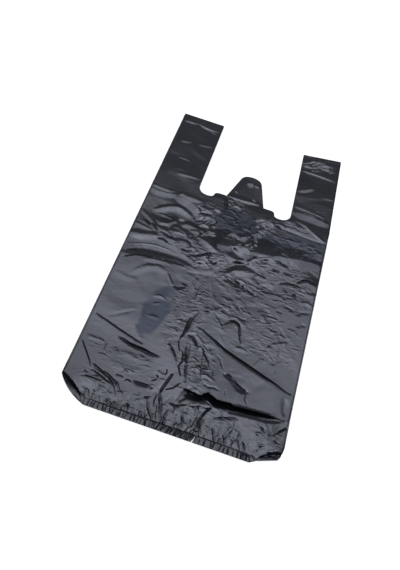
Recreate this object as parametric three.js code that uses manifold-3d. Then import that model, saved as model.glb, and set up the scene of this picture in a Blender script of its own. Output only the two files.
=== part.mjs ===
// A plastic carrier bag of the vest kind, empty and lying on its back panel.
//
// It is one tube of film. Each side is tucked in as a gusset, so four plies lie on each other
// there: back, lower gusset, upper gusset and front. The bottom and the tops of both handles
// are welded, and the mouth with its tab is die-cut through all plies. The lower corners are
// pushed in, and the front ply stands up in the folds and gathers of a used bag.
//
// Millimetres, +Z up. X runs across the bag and +Y towards the handles. The origin is under the
// middle of the outline, on the surface that the bag lies on.

import * as THREE from "three";
import { mergeVertices } from "three/addons/utils/BufferGeometryUtils.js";
import Module from "manifold-3d";

// The tube of film. The ply is drawn thicker than the real film, with air between the plies.
const bagWidth = 290;
const bagLength = 536;
const gussetDepth = 80;
const filmThickness = 0.4;
const plyGap = 0.4;

// The mouth, cut by a die that landed a little to the right of the middle. Its depth runs from
// the highest corner of the bag down to the throats, and its rises run up from the throats.
const mouthWidth = 152;
const mouthDepth = 167;
const mouthShift = 3;
const throatRadius = 17;
const shoulderRise = 12;
const shoulderWidth = 10;
const tabBaseWidth = 62;
const tabTopWidth = 29;
const tabRise = 67;
const tabRounding = 11;

// The handle tops are cut askew, the left one shorter. The right handle leans to the middle.
const leftTopDrop = 6;
const rightTopSkew = 0.17;
const handleLean = 0.035;

// Welds across the bottom and the handle tops, each measured from the cut edge beside it.
const bottomWeldInset = 8.5;
const topWeldInset = 2.5;
const weldWidth = 1.6;
const weldBead = 0.2;

// The lower corners are pushed in between the plies. Each starts at this height up the side and
// ends this far in along the bottom. The bellies are the control points of its front and back
// folded edges, given inwards and upwards from where the square corner was.
const leftCorner = { width: 40, height: 28, frontBelly: [20, 23], backBelly: [15, 8] };
const rightCorner = { width: 38, height: 30, frontBelly: [8, 15], backBelly: [1, 8] };

// Gathers along the bottom weld, where its heat drew the film together.
const gatherPitch = 7.6;
const gatherRise = 2.4;
const gatherReach = 14;
const gatherReachSpread = 16;
const gatherLean = 5;
const hemRise = 1.2;

// The crumpled belt of the front ply, from this far below the throats to this far below them,
// with points scattered at random heights, and the calmer rest of it.
const beltTop = 4;
const beltBottom = 165;
const beltRise = 2.4;
const beltSpacing = 11.5;
const calmRise = 0.8;
const calmSpacing = 19;

// The front ply lies flat along its folded edges and welds, and comes up over this width.
const flatEdge = 3.5;
const edgeFade = 12;
const weldFade = 5;

// How finely curves, crests and the flat border are drawn, and how close two points of the front
// ply may come.
const crestSpacing = 9;
const flatPitch = 11;
const closestPoints = 3.2;
const curveSteps = 6;
const bendSteps = 4;

// Folds of the front ply. The crest of each runs from one point to another, bowed to its left
// by "bow". It stands "rise" high and falls away over "spread", or over "drop" on its right.
// These are placed from the middle of the bottom weld.
const lowerFolds = [
  { from: [-141, 109], to: [-61, 88], rise: 3, spread: 6 },
  { from: [-97, 88], to: [-38, 80], rise: 4.5, spread: 8, bow: -2 },
  { from: [-12, 138], to: [142, 86], rise: 5, spread: 8, bow: -3 },
  { from: [2, 42], to: [122, 50], rise: 10, spread: 26, drop: 6, bow: 7 },
  { from: [28, 33], to: [126, 46], rise: 4, spread: 7 },
  { from: [-139, 70], to: [-117, 41], rise: 3, spread: 6 },
  { from: [-120, 41], to: [-72, 22], rise: 5, spread: 7, bow: 3 },
  { from: [-128, 27], to: [-84, 26], rise: 2.5, spread: 5, bow: 2 },
  { from: [-74, 38], to: [-34, 40], rise: 4, spread: 7 },
  { from: [-18, 158], to: [-21, 104], rise: 4, spread: 7 },
  { from: [-34, 102], to: [-8, 62], rise: 4.5, spread: 8 },
  { from: [-12, 98], to: [5, 54], rise: 5, spread: 7 },
  { from: [-20, 68], to: [-28, 8], rise: 6, spread: 8, bow: 2 },
  { from: [-8, 54], to: [-12, 7], rise: 5.5, spread: 8, bow: -2 },
  { from: [4, 130], to: [40, 72], rise: 3, spread: 9, bow: 4 },
  { from: [0, 20], to: [24, 42], rise: 4, spread: 7 },
  { from: [42, 40], to: [32, 9], rise: 4, spread: 6 },
  { from: [50, 27], to: [84, 34], rise: 3.5, spread: 6 },
  { from: [58, 84], to: [86, 68], rise: 3, spread: 8 },
  { from: [141, 50], to: [116, 30], rise: 3, spread: 6 },
  { from: [94, 7], to: [128, 26], rise: 3.5, spread: 6 },
];

// These are placed from the middle of the mouth, level with its throats.
const upperFolds = [
  { from: [-143, -143], to: [-36, -132], rise: 5, spread: 11, bow: 9 },
  { from: [-6, -137], to: [50, -106], rise: 5, spread: 10, bow: -3 },
  { from: [-140, -44], to: [-56, -48], rise: 4.5, spread: 10, bow: 12 },
  { from: [-122, -64], to: [-68, -56], rise: 3.5, spread: 8, bow: 8 },
  { from: [-108, -20], to: [-48, -42], rise: 4, spread: 8, bow: 4 },
  { from: [-136, -100], to: [-44, -103], rise: 4, spread: 9, bow: 4 },
  { from: [-24, -6], to: [-22, -58], rise: 4, spread: 9 },
  { from: [-44, -60], to: [-14, -92], rise: 4, spread: 8 },
  { from: [32, -20], to: [143, -16], rise: 4.5, spread: 9 },
  { from: [82, 6], to: [141, -12], rise: 3, spread: 7 },
  { from: [10, -60], to: [48, -36], rise: 4, spread: 8 },
  { from: [30, -92], to: [94, -62], rise: 4, spread: 9, bow: -4 },
  { from: [108, -100], to: [143, -94], rise: 3, spread: 6, bow: 3 },
  { from: [4, -74], to: [22, -100], rise: 4, spread: 7 },
  { from: [50, -156], to: [92, -172], rise: 3, spread: 9 },
  { from: [-19, -150], to: [-19, -206], rise: 3, spread: 7 },
  { from: [-88, -176], to: [-52, -250], rise: 3, spread: 20, bow: 10 },
  { from: [-28, 13], to: [32, 13], rise: 1.5, spread: 5 },
];

// These cross the handles, and are placed from the middle of the handle's top.
const leftHandleFolds = [
  { from: [-34, -18], to: [35, -24], rise: 2.5, spread: 6, bow: 3 },
  { from: [-24, -66], to: [34, -60], rise: 1.5, spread: 5 },
  { from: [-14, -103], to: [8, -104], rise: 1.2, spread: 4 },
  { from: [-6, -135], to: [32, -138], rise: 1.5, spread: 5 },
];
const rightHandleFolds = [
  { from: [-32, -12], to: [26, -8], rise: 1.8, spread: 5, bow: 2 },
  { from: [-14, -26], to: [22, -22], rise: 2.5, spread: 8 },
  { from: [-33, -43], to: [28, -46], rise: 2, spread: 5 },
  { from: [-28, -90], to: [-2, -76], rise: 2, spread: 5 },
  { from: [-30, -126], to: [24, -130], rise: 2.2, spread: 5 },
];

// Places and heights that follow from the sizes above.
const halfWidth = bagWidth / 2;
const halfLength = bagLength / 2;
const gussetFoldX = halfWidth - gussetDepth;
const plyPitch = filmThickness + plyGap;
const frontZ = 3 * plyPitch;
const stackHeight = frontZ + filmThickness;
const bendRadius = (plyPitch + filmThickness) / 2;
const bendLap = 4 * filmThickness;
const plyInset = bendRadius + bendLap / 2;
const mouthLowY = halfLength - mouthDepth;
const mouthLeftX = mouthShift - mouthWidth / 2;
const mouthRightX = mouthShift + mouthWidth / 2;
const bottomWeldY = -halfLength + bottomWeldInset;
const cutMargin = 20;
const cutHeight = 100;

const wasm = await Module();
wasm.setup();

/** A closed geometry as a manifold-3d solid. */
function toSolid(geometry) {
  geometry.deleteAttribute("normal");
  geometry.deleteAttribute("uv");
  const merged = mergeVertices(geometry, 1e-4);
  return new wasm.Manifold(
    new wasm.Mesh({
      numProp: 3,
      vertProperties: merged.attributes.position.array,
      triVerts: new Uint32Array(merged.index.array),
    }),
  );
}

/** A manifold-3d solid as an indexed geometry with normals. */
function toGeometry(solid) {
  const { vertProperties, triVerts } = solid.getMesh();
  const geometry = new THREE.BufferGeometry();
  geometry.setAttribute("position", new THREE.Float32BufferAttribute(vertProperties, 3));
  geometry.setIndex(Array.from(triVerts));
  geometry.computeVertexNormals();
  return geometry;
}

/** All the solids joined into one. */
function joined(solids) {
  return solids.reduce((whole, solid) => whole.add(solid));
}

/** A flat plate with the given outline, from one height up to another. */
function plate(outline, bottomZ, topZ) {
  const shape = Array.isArray(outline) ? new THREE.Shape(outline) : outline;
  const geometry = new THREE.ExtrudeGeometry(shape, {
    depth: topZ - bottomZ,
    bevelEnabled: false,
    curveSegments: curveSteps,
  });
  return toSolid(geometry.translate(0, 0, bottomZ));
}

/** The path moved to its left by the same distance all along, with mitred corners. */
function offsetPath(path, distance) {
  const last = path.length - 1;
  return path.map((point, i) => {
    const arriving = path[Math.max(i, 1)].clone().sub(path[Math.max(i, 1) - 1]).normalize();
    const leaving = path[Math.min(i, last - 1) + 1].clone().sub(path[Math.min(i, last - 1)]);
    const mitre = leaving.normalize().add(arriving).normalize();
    const reach = distance / mitre.dot(arriving);
    return new THREE.Vector2(point.x - mitre.y * reach, point.y + mitre.x * reach);
  });
}

/** A closed profile of (inset, height) points, swept along a level path. */
function sweep(path, profile) {
  const rails = profile.map(({ x: inset, y: height }) =>
    offsetPath(path, inset).flatMap((p) => [p.x, p.y, height]),
  );
  const rows = path.length;
  const at = (rail, row) => (rail % rails.length) * rows + row;
  const index = [];
  for (let rail = 0; rail < rails.length; rail++) {
    for (let row = 0; row < rows - 1; row++) {
      index.push(at(rail, row), at(rail + 1, row + 1), at(rail, row + 1));
      index.push(at(rail, row), at(rail + 1, row), at(rail + 1, row + 1));
    }
  }
  for (const [a, b, c] of THREE.ShapeUtils.triangulateShape(profile, [])) {
    index.push(at(c, 0), at(b, 0), at(a, 0));
    index.push(at(a, rows - 1), at(b, rows - 1), at(c, rows - 1));
  }
  const geometry = new THREE.BufferGeometry();
  geometry.setAttribute("position", new THREE.Float32BufferAttribute(rails.flat(), 3));
  geometry.setIndex(index);
  return toSolid(geometry);
}

/** The round turn that joins a ply to the next one above it, with a short lap onto each. */
function bendProfile(lowerPly) {
  const middleZ = lowerPly * plyPitch + bendRadius;
  const lapInset = bendRadius + bendLap;
  const arc = (radius, side) =>
    Array.from({ length: bendSteps + 1 }, (_, i) => {
      const angle = side * Math.PI * (i / bendSteps - 0.5);
      const inset = bendRadius - radius * Math.cos(angle);
      return new THREE.Vector2(inset, middleZ + radius * Math.sin(angle));
    });
  const lap = (radius) => new THREE.Vector2(lapInset, middleZ + radius);
  const innerRadius = bendRadius - filmThickness;
  return [
    ...arc(bendRadius, -1),
    lap(-bendRadius),
    lap(-innerRadius),
    ...arc(innerRadius, 1),
    lap(innerRadius),
    lap(bendRadius),
  ];
}

/** How far the right handle has leant to the left at this height. */
function leanAt(y) {
  return handleLean * Math.max(0, y - mouthLowY);
}

/** The height of the handle's cut top at this place, on the left or the right of the mouth. */
function handleTop(x) {
  const highestX = halfWidth - leanAt(halfLength);
  return halfLength - (x < mouthShift ? leftTopDrop : rightTopSkew * (highestX - x));
}

/** One folded side edge of a pair of plies, from beyond the handle's top to below the bottom. */
function sideEdge(side, corner, belly) {
  const topY = halfLength + cutMargin;
  const lean = side > 0 ? leanAt(topY) : 0;
  const cornerEndX = side * (halfWidth - corner.width);
  const pushedIn = new THREE.QuadraticBezierCurve(
    new THREE.Vector2(side * halfWidth, -halfLength + corner.height),
    new THREE.Vector2(side * (halfWidth - belly[0]), -halfLength + belly[1]),
    new THREE.Vector2(cornerEndX, -halfLength),
  );
  return [
    new THREE.Vector2(side * halfWidth - lean, topY),
    new THREE.Vector2(side * halfWidth, mouthLowY),
    ...pushedIn.getPoints(curveSteps),
    new THREE.Vector2(cornerEndX, -halfLength - cutMargin),
  ];
}

// The folded edges, each with the bag on its left: the left ones run down, the right ones up.
const frontEdges = [
  sideEdge(-1, leftCorner, leftCorner.frontBelly),
  sideEdge(1, rightCorner, rightCorner.frontBelly).reverse(),
];
const backEdges = [
  sideEdge(-1, leftCorner, leftCorner.backBelly),
  sideEdge(1, rightCorner, rightCorner.backBelly).reverse(),
];

/** The outline of a whole panel between its two folded edges. */
function panelOutline(edges, inset) {
  return edges.flatMap((edge) => offsetPath(edge, inset));
}

/** The outline of a gusset ply between a folded side edge and the fold inside the bag. */
function gussetOutline(edge, inset) {
  const outer = offsetPath(edge, inset);
  const foldX = Math.sign(edge[0].x) * (gussetFoldX + inset);
  const inner = [outer.at(-1), outer[0]].map(({ y }) => new THREE.Vector2(foldX, y));
  return [...outer, ...inner];
}

/** The fold inside the bag where a gusset's two plies meet, with the gusset on its left. */
function gussetFold(side) {
  const reach = side * (halfLength + cutMargin);
  return [
    new THREE.Vector2(side * gussetFoldX, reach),
    new THREE.Vector2(side * gussetFoldX, -reach),
  ];
}

/** The die that cuts the mouth: two throats with the tab standing between them. */
function mouthShape() {
  const topY = halfLength + cutMargin;
  const shoulderY = mouthLowY + shoulderRise;
  const tabTopY = mouthLowY + tabRise;
  const shoulderX = tabBaseWidth / 2 + shoulderWidth;
  const throatX = mouthWidth / 2 - throatRadius;
  const blendX = (throatX + shoulderX) / 2;
  const slope = (tabRise - shoulderRise) / ((tabBaseWidth - tabTopWidth) / 2);
  const roundingX = tabTopWidth / 2 + tabRounding / slope;
  const at = (offset, y) => [mouthShift + offset, y];
  const shape = new THREE.Shape();
  shape.moveTo(mouthLeftX, topY);
  shape.lineTo(mouthLeftX, mouthLowY + throatRadius);
  shape.quadraticCurveTo(mouthLeftX, mouthLowY, ...at(-throatX, mouthLowY));
  shape.bezierCurveTo(...at(-blendX, mouthLowY), ...at(-blendX, shoulderY), ...at(-shoulderX, shoulderY));
  shape.lineTo(...at(-tabBaseWidth / 2, shoulderY));
  shape.lineTo(...at(-roundingX, tabTopY - tabRounding));
  shape.quadraticCurveTo(...at(-tabTopWidth / 2, tabTopY), ...at(0, tabTopY));
  shape.quadraticCurveTo(...at(tabTopWidth / 2, tabTopY), ...at(roundingX, tabTopY - tabRounding));
  shape.lineTo(...at(tabBaseWidth / 2, shoulderY));
  shape.lineTo(...at(shoulderX, shoulderY));
  shape.bezierCurveTo(...at(blendX, shoulderY), ...at(blendX, mouthLowY), ...at(throatX, mouthLowY));
  shape.quadraticCurveTo(mouthRightX, mouthLowY, mouthRightX, mouthLowY + throatRadius);
  shape.lineTo(mouthRightX - leanAt(topY), topY);
  return shape;
}

/** The nearest place on a path: how far off, how far along as a share, and on which side. */
function nearestOnPath(path, point) {
  let nearest = { distance: Infinity, along: 0, side: 0 };
  for (let i = 0; i < path.length - 1; i++) {
    const step = path[i + 1].clone().sub(path[i]);
    const offset = point.clone().sub(path[i]);
    const share = THREE.MathUtils.clamp(offset.dot(step) / step.lengthSq(), 0, 1);
    const distance = offset.distanceTo(step.clone().multiplyScalar(share));
    if (distance < nearest.distance) {
      const along = (i + share) / (path.length - 1);
      nearest = { distance, along, side: Math.sign(step.cross(offset)) };
    }
  }
  return nearest;
}

/** A fold placed from an origin, with its crest worked out as evenly spaced points. */
function placedFold({ from, to, rise, spread, drop = spread, bow = 0 }, originX, originY) {
  const start = new THREE.Vector2(from[0] + originX, from[1] + originY);
  const end = new THREE.Vector2(to[0] + originX, to[1] + originY);
  const along = end.clone().sub(start).normalize();
  const bulge = start.clone().lerp(end, 0.5);
  bulge.add(new THREE.Vector2(-along.y, along.x).multiplyScalar(2 * bow));
  const curve = new THREE.QuadraticBezierCurve(start, bulge, end);
  const crest = curve.getSpacedPoints(Math.max(2, Math.round(curve.getLength() / crestSpacing)));
  return { crest, rise, spread, drop };
}

/** How high a fold stands at a point: nothing at its feet and its ends, most along its crest. */
function foldHeight({ crest, rise, spread, drop }, point) {
  const { distance, along, side } = nearestOnPath(crest, point);
  const taper = 1 - (2 * along - 1) ** 4;
  const slope = 1 - distance / (side < 0 ? drop : spread);
  return rise * taper * Math.max(0, slope);
}

THREE.MathUtils.seededRandom(11);

/** A repeatable random number between the two values. */
function randomBetween(low, high) {
  return low + (high - low) * THREE.MathUtils.seededRandom();
}

/** The gathers above the bottom weld, and the puckers of the hem below it. */
function gathers() {
  const leftX = -halfWidth + leftCorner.width;
  const rightX = halfWidth - rightCorner.width;
  const count = Math.round((rightX - leftX) / gatherPitch);
  const pitch = (rightX - leftX) / count;
  const foldsOfWeld = [];
  for (let i = 0; i < count; i++) {
    const x = leftX + (i + 0.5 + randomBetween(-0.15, 0.15)) * pitch;
    const reach = gatherReach + randomBetween(0, gatherReachSpread);
    const lean = randomBetween(-gatherLean, gatherLean);
    const rise = gatherRise * randomBetween(0.6, 1.2);
    const spread = pitch / 2;
    const hem = hemRise * randomBetween(0.5, 1.2);
    const upward = { from: [x, 0], to: [x + lean, reach], rise, spread };
    const downward = { from: [x, 0], to: [x, -2 * bottomWeldInset], rise: hem, spread };
    foldsOfWeld.push(placedFold(upward, 0, bottomWeldY), placedFold(downward, 0, bottomWeldY));
  }
  return foldsOfWeld;
}

const handleMiddle = (mouthWidth / 2 + halfWidth) / 2;
const leftHandleX = -handleMiddle + mouthShift / 2;
const rightHandleX = handleMiddle + mouthShift / 2 - leanAt(halfLength);
const folds = [
  ...lowerFolds.map((fold) => placedFold(fold, 0, bottomWeldY)),
  ...upperFolds.map((fold) => placedFold(fold, mouthShift, mouthLowY)),
  ...leftHandleFolds.map((fold) => placedFold(fold, leftHandleX, handleTop(leftHandleX))),
  ...rightHandleFolds.map((fold) => placedFold(fold, rightHandleX, handleTop(rightHandleX))),
  ...gathers(),
];

/** How far a point of the front ply lies from the nearer of its folded edges. */
function edgeDistance(point) {
  return Math.min(...frontEdges.map((edge) => nearestOnPath(edge, point).distance));
}

/** How much of its height the front ply has here: none on folded edges and welds. */
function riseShare(point) {
  const toBottomWeld = Math.abs(point.y - bottomWeldY);
  const toTopWeld = Math.abs(handleTop(point.x) - topWeldInset - point.y);
  return Math.min(
    THREE.MathUtils.smoothstep(edgeDistance(point), flatEdge, edgeFade),
    THREE.MathUtils.smoothstep(Math.min(toBottomWeld, toTopWeld), weldWidth / 2, weldFade),
  );
}

/** The points of the front ply: borders and welds first, then fold crests, feet and the rest. */
function frontPoints() {
  const limitX = halfWidth + cutMargin;
  const limitY = halfLength + cutMargin;
  const points = [];
  const add = (x, y, crumple) => {
    const point = new THREE.Vector2(x, y);
    const outside = Math.abs(x) > limitX || Math.abs(y) > limitY;
    if (outside || points.some((other) => other.distanceTo(point) < closestPoints)) return;
    points.push(Object.assign(point, { crumple }));
  };
  const addInside = (x, y, crumple) => {
    if (edgeDistance(new THREE.Vector2(x, y)) > flatEdge + flatPitch / 2) add(x, y, crumple);
  };
  for (const y of [-limitY, limitY]) {
    for (const x of [-limitX, 0, limitX]) add(x, y, 0);
  }
  for (const edge of frontEdges) {
    const line = new THREE.Path(offsetPath(edge, flatEdge));
    for (const { x, y } of line.getSpacedPoints(bagLength / flatPitch)) add(x, y, 0);
  }
  for (let x = -halfWidth; x <= halfWidth; x += gatherPitch) {
    add(x, bottomWeldY, 0);
  }
  for (let x = -halfWidth; x <= halfWidth; x += beltSpacing) {
    add(x, handleTop(x) - topWeldInset, 0);
  }
  for (const { crest, spread, drop } of folds) {
    for (const { x, y } of crest) addInside(x, y, 0);
    for (const { x, y } of offsetPath(crest, spread)) addInside(x, y, 0);
    for (const { x, y } of offsetPath(crest, -drop)) addInside(x, y, 0);
  }
  const scatter = (lowY, highY, spacing, rise) => {
    for (let y = lowY; y < highY; y += spacing) {
      for (let x = -halfWidth; x < halfWidth; x += spacing) {
        const jitterX = randomBetween(0, 0.7) * spacing;
        const jitterY = randomBetween(0, 0.7) * spacing;
        addInside(x + jitterX, y + jitterY, rise * randomBetween(0, 1));
      }
    }
  };
  const beltLowY = mouthLowY - beltBottom;
  const beltHighY = mouthLowY - beltTop;
  scatter(beltLowY, beltHighY, beltSpacing, beltRise);
  scatter(-halfLength, beltLowY, calmSpacing, calmRise);
  scatter(beltHighY, halfLength, calmSpacing, calmRise);
  return points;
}

/** Triangles between points, with no point inside the circle through another three. */
function delaunay(points) {
  const far = 20 * bagLength;
  const corners = [new THREE.Vector2(-far, -far), new THREE.Vector2(far, -far), new THREE.Vector2(0, far)];
  const all = [...points, ...corners];
  const circled = (a, b, c) => {
    const ab = all[b].clone().sub(all[a]);
    const ac = all[c].clone().sub(all[a]);
    const scale = 0.5 / ab.cross(ac);
    const x = (ac.y * ab.lengthSq() - ab.y * ac.lengthSq()) * scale;
    const y = (ab.x * ac.lengthSq() - ac.x * ab.lengthSq()) * scale;
    const centre = new THREE.Vector2(x, y).add(all[a]);
    return { corners: [a, b, c], centre, reach: centre.distanceToSquared(all[a]) };
  };
  let triangles = [circled(points.length, points.length + 1, points.length + 2)];
  points.forEach((point, i) => {
    const rim = new Map();
    const kept = [];
    for (const triangle of triangles) {
      if (triangle.centre.distanceToSquared(point) > triangle.reach) {
        kept.push(triangle);
        continue;
      }
      const [a, b, c] = triangle.corners;
      for (const [from, to] of [[a, b], [b, c], [c, a]]) {
        const facing = `${to},${from}`;
        if (!rim.delete(facing)) rim.set(`${from},${to}`, [from, to]);
      }
    }
    triangles = [...kept, ...[...rim.values()].map(([from, to]) => circled(from, to, i))];
  });
  return triangles.map(({ corners }) => corners).filter((abc) => Math.max(...abc) < points.length);
}

/** The front ply, a sheet of film that stands up in folds, gathers and crumples. */
function frontPly() {
  const points = frontPoints();
  const heights = points.map((point) => {
    const standing = Math.max(point.crumple, ...folds.map((fold) => foldHeight(fold, point)));
    return frontZ + standing * riseShare(point);
  });
  const surface = (lift) => points.flatMap(({ x, y }, i) => [x, y, heights[i] + lift]);
  const index = [];
  const open = new Map();
  const count = points.length;
  for (const [a, b, c] of delaunay(points)) {
    index.push(a, c, b, a + count, b + count, c + count);
    for (const [from, to] of [[a, b], [b, c], [c, a]]) {
      if (!open.delete(`${to},${from}`)) open.set(`${from},${to}`, [from, to]);
    }
  }
  for (const [from, to] of open.values()) {
    index.push(from, to, to + count, from, to + count, from + count);
  }
  const positions = [...surface(0), ...surface(filmThickness)];
  const geometry = new THREE.BufferGeometry();
  geometry.setAttribute("position", new THREE.Float32BufferAttribute(positions, 3));
  geometry.setIndex(index);
  const outline = panelOutline(frontEdges, plyInset);
  return toSolid(geometry).intersect(plate(outline, 0, cutHeight));
}

/** A weld bead through all plies, along a straight line. */
function weld(start, end) {
  const line = [start, end];
  const outline = [...offsetPath(line, -weldWidth / 2), ...offsetPath(line, weldWidth / 2).reverse()];
  const within = panelOutline(frontEdges, bendRadius);
  return plate(outline, 0, stackHeight + weldBead).intersect(plate(within, 0, cutHeight));
}

/** The weld across a handle's top, beside its cut edge. */
function topWeld(startX, endX) {
  const at = (x) => new THREE.Vector2(x, handleTop(x) - topWeldInset);
  return weld(at(startX), at(endX));
}

/** What is left after the straight cuts across the bottom and the handle tops. */
function cutBlank() {
  const outerX = halfWidth + cutMargin;
  const middleX = mouthShift;
  const at = (x, y) => new THREE.Vector2(x, y);
  const outline = [
    at(-outerX, -halfLength),
    at(outerX, -halfLength),
    at(outerX, handleTop(outerX)),
    at(middleX, handleTop(middleX)),
    at(middleX, handleTop(-outerX)),
    at(-outerX, handleTop(-outerX)),
  ];
  return plate(outline, -1, cutHeight);
}

/** The whole bag. */
function carrierBag() {
  const plyAt = (outline, ply) => plate(outline, ply * plyPitch, ply * plyPitch + filmThickness);
  const film = joined([
    plyAt(panelOutline(backEdges, plyInset), 0),
    ...backEdges.map((edge) => plyAt(gussetOutline(edge, plyInset), 1)),
    ...frontEdges.map((edge) => plyAt(gussetOutline(edge, plyInset), 2)),
    frontPly(),
    ...backEdges.map((edge) => sweep(edge, bendProfile(0))),
    ...[-1, 1].map((side) => sweep(gussetFold(side), bendProfile(1))),
    ...frontEdges.map((edge) => sweep(edge, bendProfile(2))),
    weld(new THREE.Vector2(-halfWidth, bottomWeldY), new THREE.Vector2(halfWidth, bottomWeldY)),
    topWeld(-halfWidth, mouthLeftX),
    topWeld(mouthShift, halfWidth),
  ]);
  return film.intersect(cutBlank()).subtract(plate(mouthShape(), -1, cutHeight));
}

const blackFilm = new THREE.MeshStandardMaterial({ color: 0x17181a, roughness: 0.3, metalness: 0 });
const bagMesh = new THREE.Mesh(toGeometry(carrierBag()), blackFilm);
bagMesh.name = "carrier_bag";

const bag = new THREE.Group();
bag.add(bagMesh);

export default bag;
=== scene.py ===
"""A black plastic carrier bag of the vest kind, lying empty and creased on a pale floor.

The bag is one tube of thin film: a back panel, a front panel and a gusset of two plies down each
side. Each panel is a closed sheet of film, cut to its outline and then raised by a height map of
creases, crumples and gathers. Sizes are in millimetres until a mesh is made.
"""

from __future__ import annotations

import logging
import math
from dataclasses import dataclass, field
from enum import Enum
from typing import ClassVar

import bpy
import numpy as np
from mathutils import Matrix, Vector
from mathutils.geometry import delaunay_2d_cdt


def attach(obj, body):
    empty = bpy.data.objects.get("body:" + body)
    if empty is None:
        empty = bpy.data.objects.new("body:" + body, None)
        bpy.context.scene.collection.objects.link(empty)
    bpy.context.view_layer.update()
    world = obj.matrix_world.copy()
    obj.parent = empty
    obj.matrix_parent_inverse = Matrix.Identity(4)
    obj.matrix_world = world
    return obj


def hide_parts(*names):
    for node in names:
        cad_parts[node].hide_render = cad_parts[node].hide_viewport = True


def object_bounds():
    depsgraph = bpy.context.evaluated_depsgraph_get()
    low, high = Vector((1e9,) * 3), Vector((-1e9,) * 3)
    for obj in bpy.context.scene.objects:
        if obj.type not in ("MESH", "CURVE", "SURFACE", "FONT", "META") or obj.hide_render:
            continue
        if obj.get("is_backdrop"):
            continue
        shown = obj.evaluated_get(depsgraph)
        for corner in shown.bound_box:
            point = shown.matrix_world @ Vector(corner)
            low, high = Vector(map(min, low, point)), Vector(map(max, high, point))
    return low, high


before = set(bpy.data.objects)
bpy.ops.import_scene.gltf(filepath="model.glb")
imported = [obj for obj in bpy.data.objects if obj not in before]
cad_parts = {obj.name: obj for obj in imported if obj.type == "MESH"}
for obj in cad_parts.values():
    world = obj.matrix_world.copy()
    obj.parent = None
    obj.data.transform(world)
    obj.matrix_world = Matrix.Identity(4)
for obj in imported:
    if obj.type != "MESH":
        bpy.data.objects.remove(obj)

LOG = logging.getLogger("carrier_bag")
NODE = "carrier_bag"
MM = 0.001
SEED = 5
TINY = 1e-6
ROUNDING = 1e-9
SHARP_ANGLE = math.radians(24)

Point = tuple[float, float]


# Curves and outlines

def quadratic(start: Point, middle: Point, end: Point, steps: int) -> list[Point]:
    """Points along a quadratic Bezier curve, without its start.

    Args:
        start: Where the curve begins.
        middle: Its control point.
        end: Where it ends.
        steps: How many points to return.

    Returns:
        The points, the last of which is the end.
    """
    points = []
    for i in range(1, steps + 1):
        t = i / steps
        weights = ((1 - t) ** 2, 2 * t * (1 - t), t * t)
        points.append(tuple(
            sum(w * p[k] for w, p in zip(weights, (start, middle, end))) for k in (0, 1)
        ))
    return points


def smoothstep(low: float, high: float, values: np.ndarray) -> np.ndarray:
    """A smooth rise from 0 at low to 1 at high.

    Args:
        low: Where the rise begins.
        high: Where it ends.
        values: The values to judge.

    Returns:
        The share of the rise at each value.
    """
    share = np.clip((values - low) / (high - low), 0.0, 1.0)
    return share * share * (3 - 2 * share)


def divided(loop: list[Point], step: float) -> np.ndarray:
    """A closed outline with points added so that none of its edges is longer than a step.

    Args:
        loop: The corners in order.
        step: The longest edge allowed, in mm.

    Returns:
        The points as rows of x and y.
    """
    points = []
    for (x0, y0), (x1, y1) in zip(loop, loop[1:] + loop[:1]):
        count = max(1, math.ceil(math.hypot(x1 - x0, y1 - y0) / step))
        points += [(x0 + (x1 - x0) * i / count, y0 + (y1 - y0) * i / count) for i in range(count)]
    return np.array(points)


def distance_to(loop: np.ndarray, x: np.ndarray, y: np.ndarray, closed: bool = True) -> np.ndarray:
    """The distance from each point to the nearest edge of a line of points.

    Args:
        loop: The line's points as rows of x and y.
        x: Where the points are across the bag.
        y: Where they are along it.
        closed: Whether the line returns to its start.

    Returns:
        The distances in mm.
    """
    nearest = np.full(x.shape, np.inf)
    ends = np.roll(loop, -1, axis=0) if closed else loop[1:]
    for (x0, y0), (x1, y1) in zip(loop, ends):
        dx, dy = x1 - x0, y1 - y0
        share = np.clip(((x - x0) * dx + (y - y0) * dy) / (dx * dx + dy * dy), 0, 1)
        nearest = np.minimum(nearest, (x - x0 - share * dx) ** 2 + (y - y0 - share * dy) ** 2)
    return np.sqrt(nearest)


def inside(loop: np.ndarray, x: np.ndarray, y: np.ndarray) -> np.ndarray:
    """Which points lie inside a closed outline.

    Args:
        loop: The outline's points as rows of x and y.
        x: Where the points are across the bag.
        y: Where they are along it.

    Returns:
        True for each point inside.
    """
    within = np.zeros(x.shape, bool)
    for (x0, y0), (x1, y1) in zip(loop, np.roll(loop, -1, axis=0)):
        if y0 == y1:
            continue
        crosses = (y0 > y) != (y1 > y)
        within ^= crosses & (x < (x1 - x0) * (y - y0) / (y1 - y0) + x0)
    return within


def interpolated(values: np.ndarray, column: np.ndarray, row: np.ndarray) -> np.ndarray:
    """Values between the points of a grid.

    Args:
        values: The grid's values.
        column: Where, counted in columns.
        row: Where, counted in rows.

    Returns:
        The value at each place. Places past the grid get its edge's value.
    """
    margin = 1.001
    u = np.clip(column, 0, values.shape[1] - margin)
    v = np.clip(row, 0, values.shape[0] - margin)
    i, j = u.astype(int), v.astype(int)
    u, v = u - i, v - j
    near = values[j, i] * (1 - u) + values[j, i + 1] * u
    far = values[j + 1, i] * (1 - u) + values[j + 1, i + 1] * u
    return near * (1 - v) + far * v


# The bag's pattern

class Ply(Enum):
    """The plies of film from the floor up, with how many lie below each."""

    BACK = 0
    LOWER_GUSSET = 1
    UPPER_GUSSET = 2
    FRONT = 3


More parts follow.
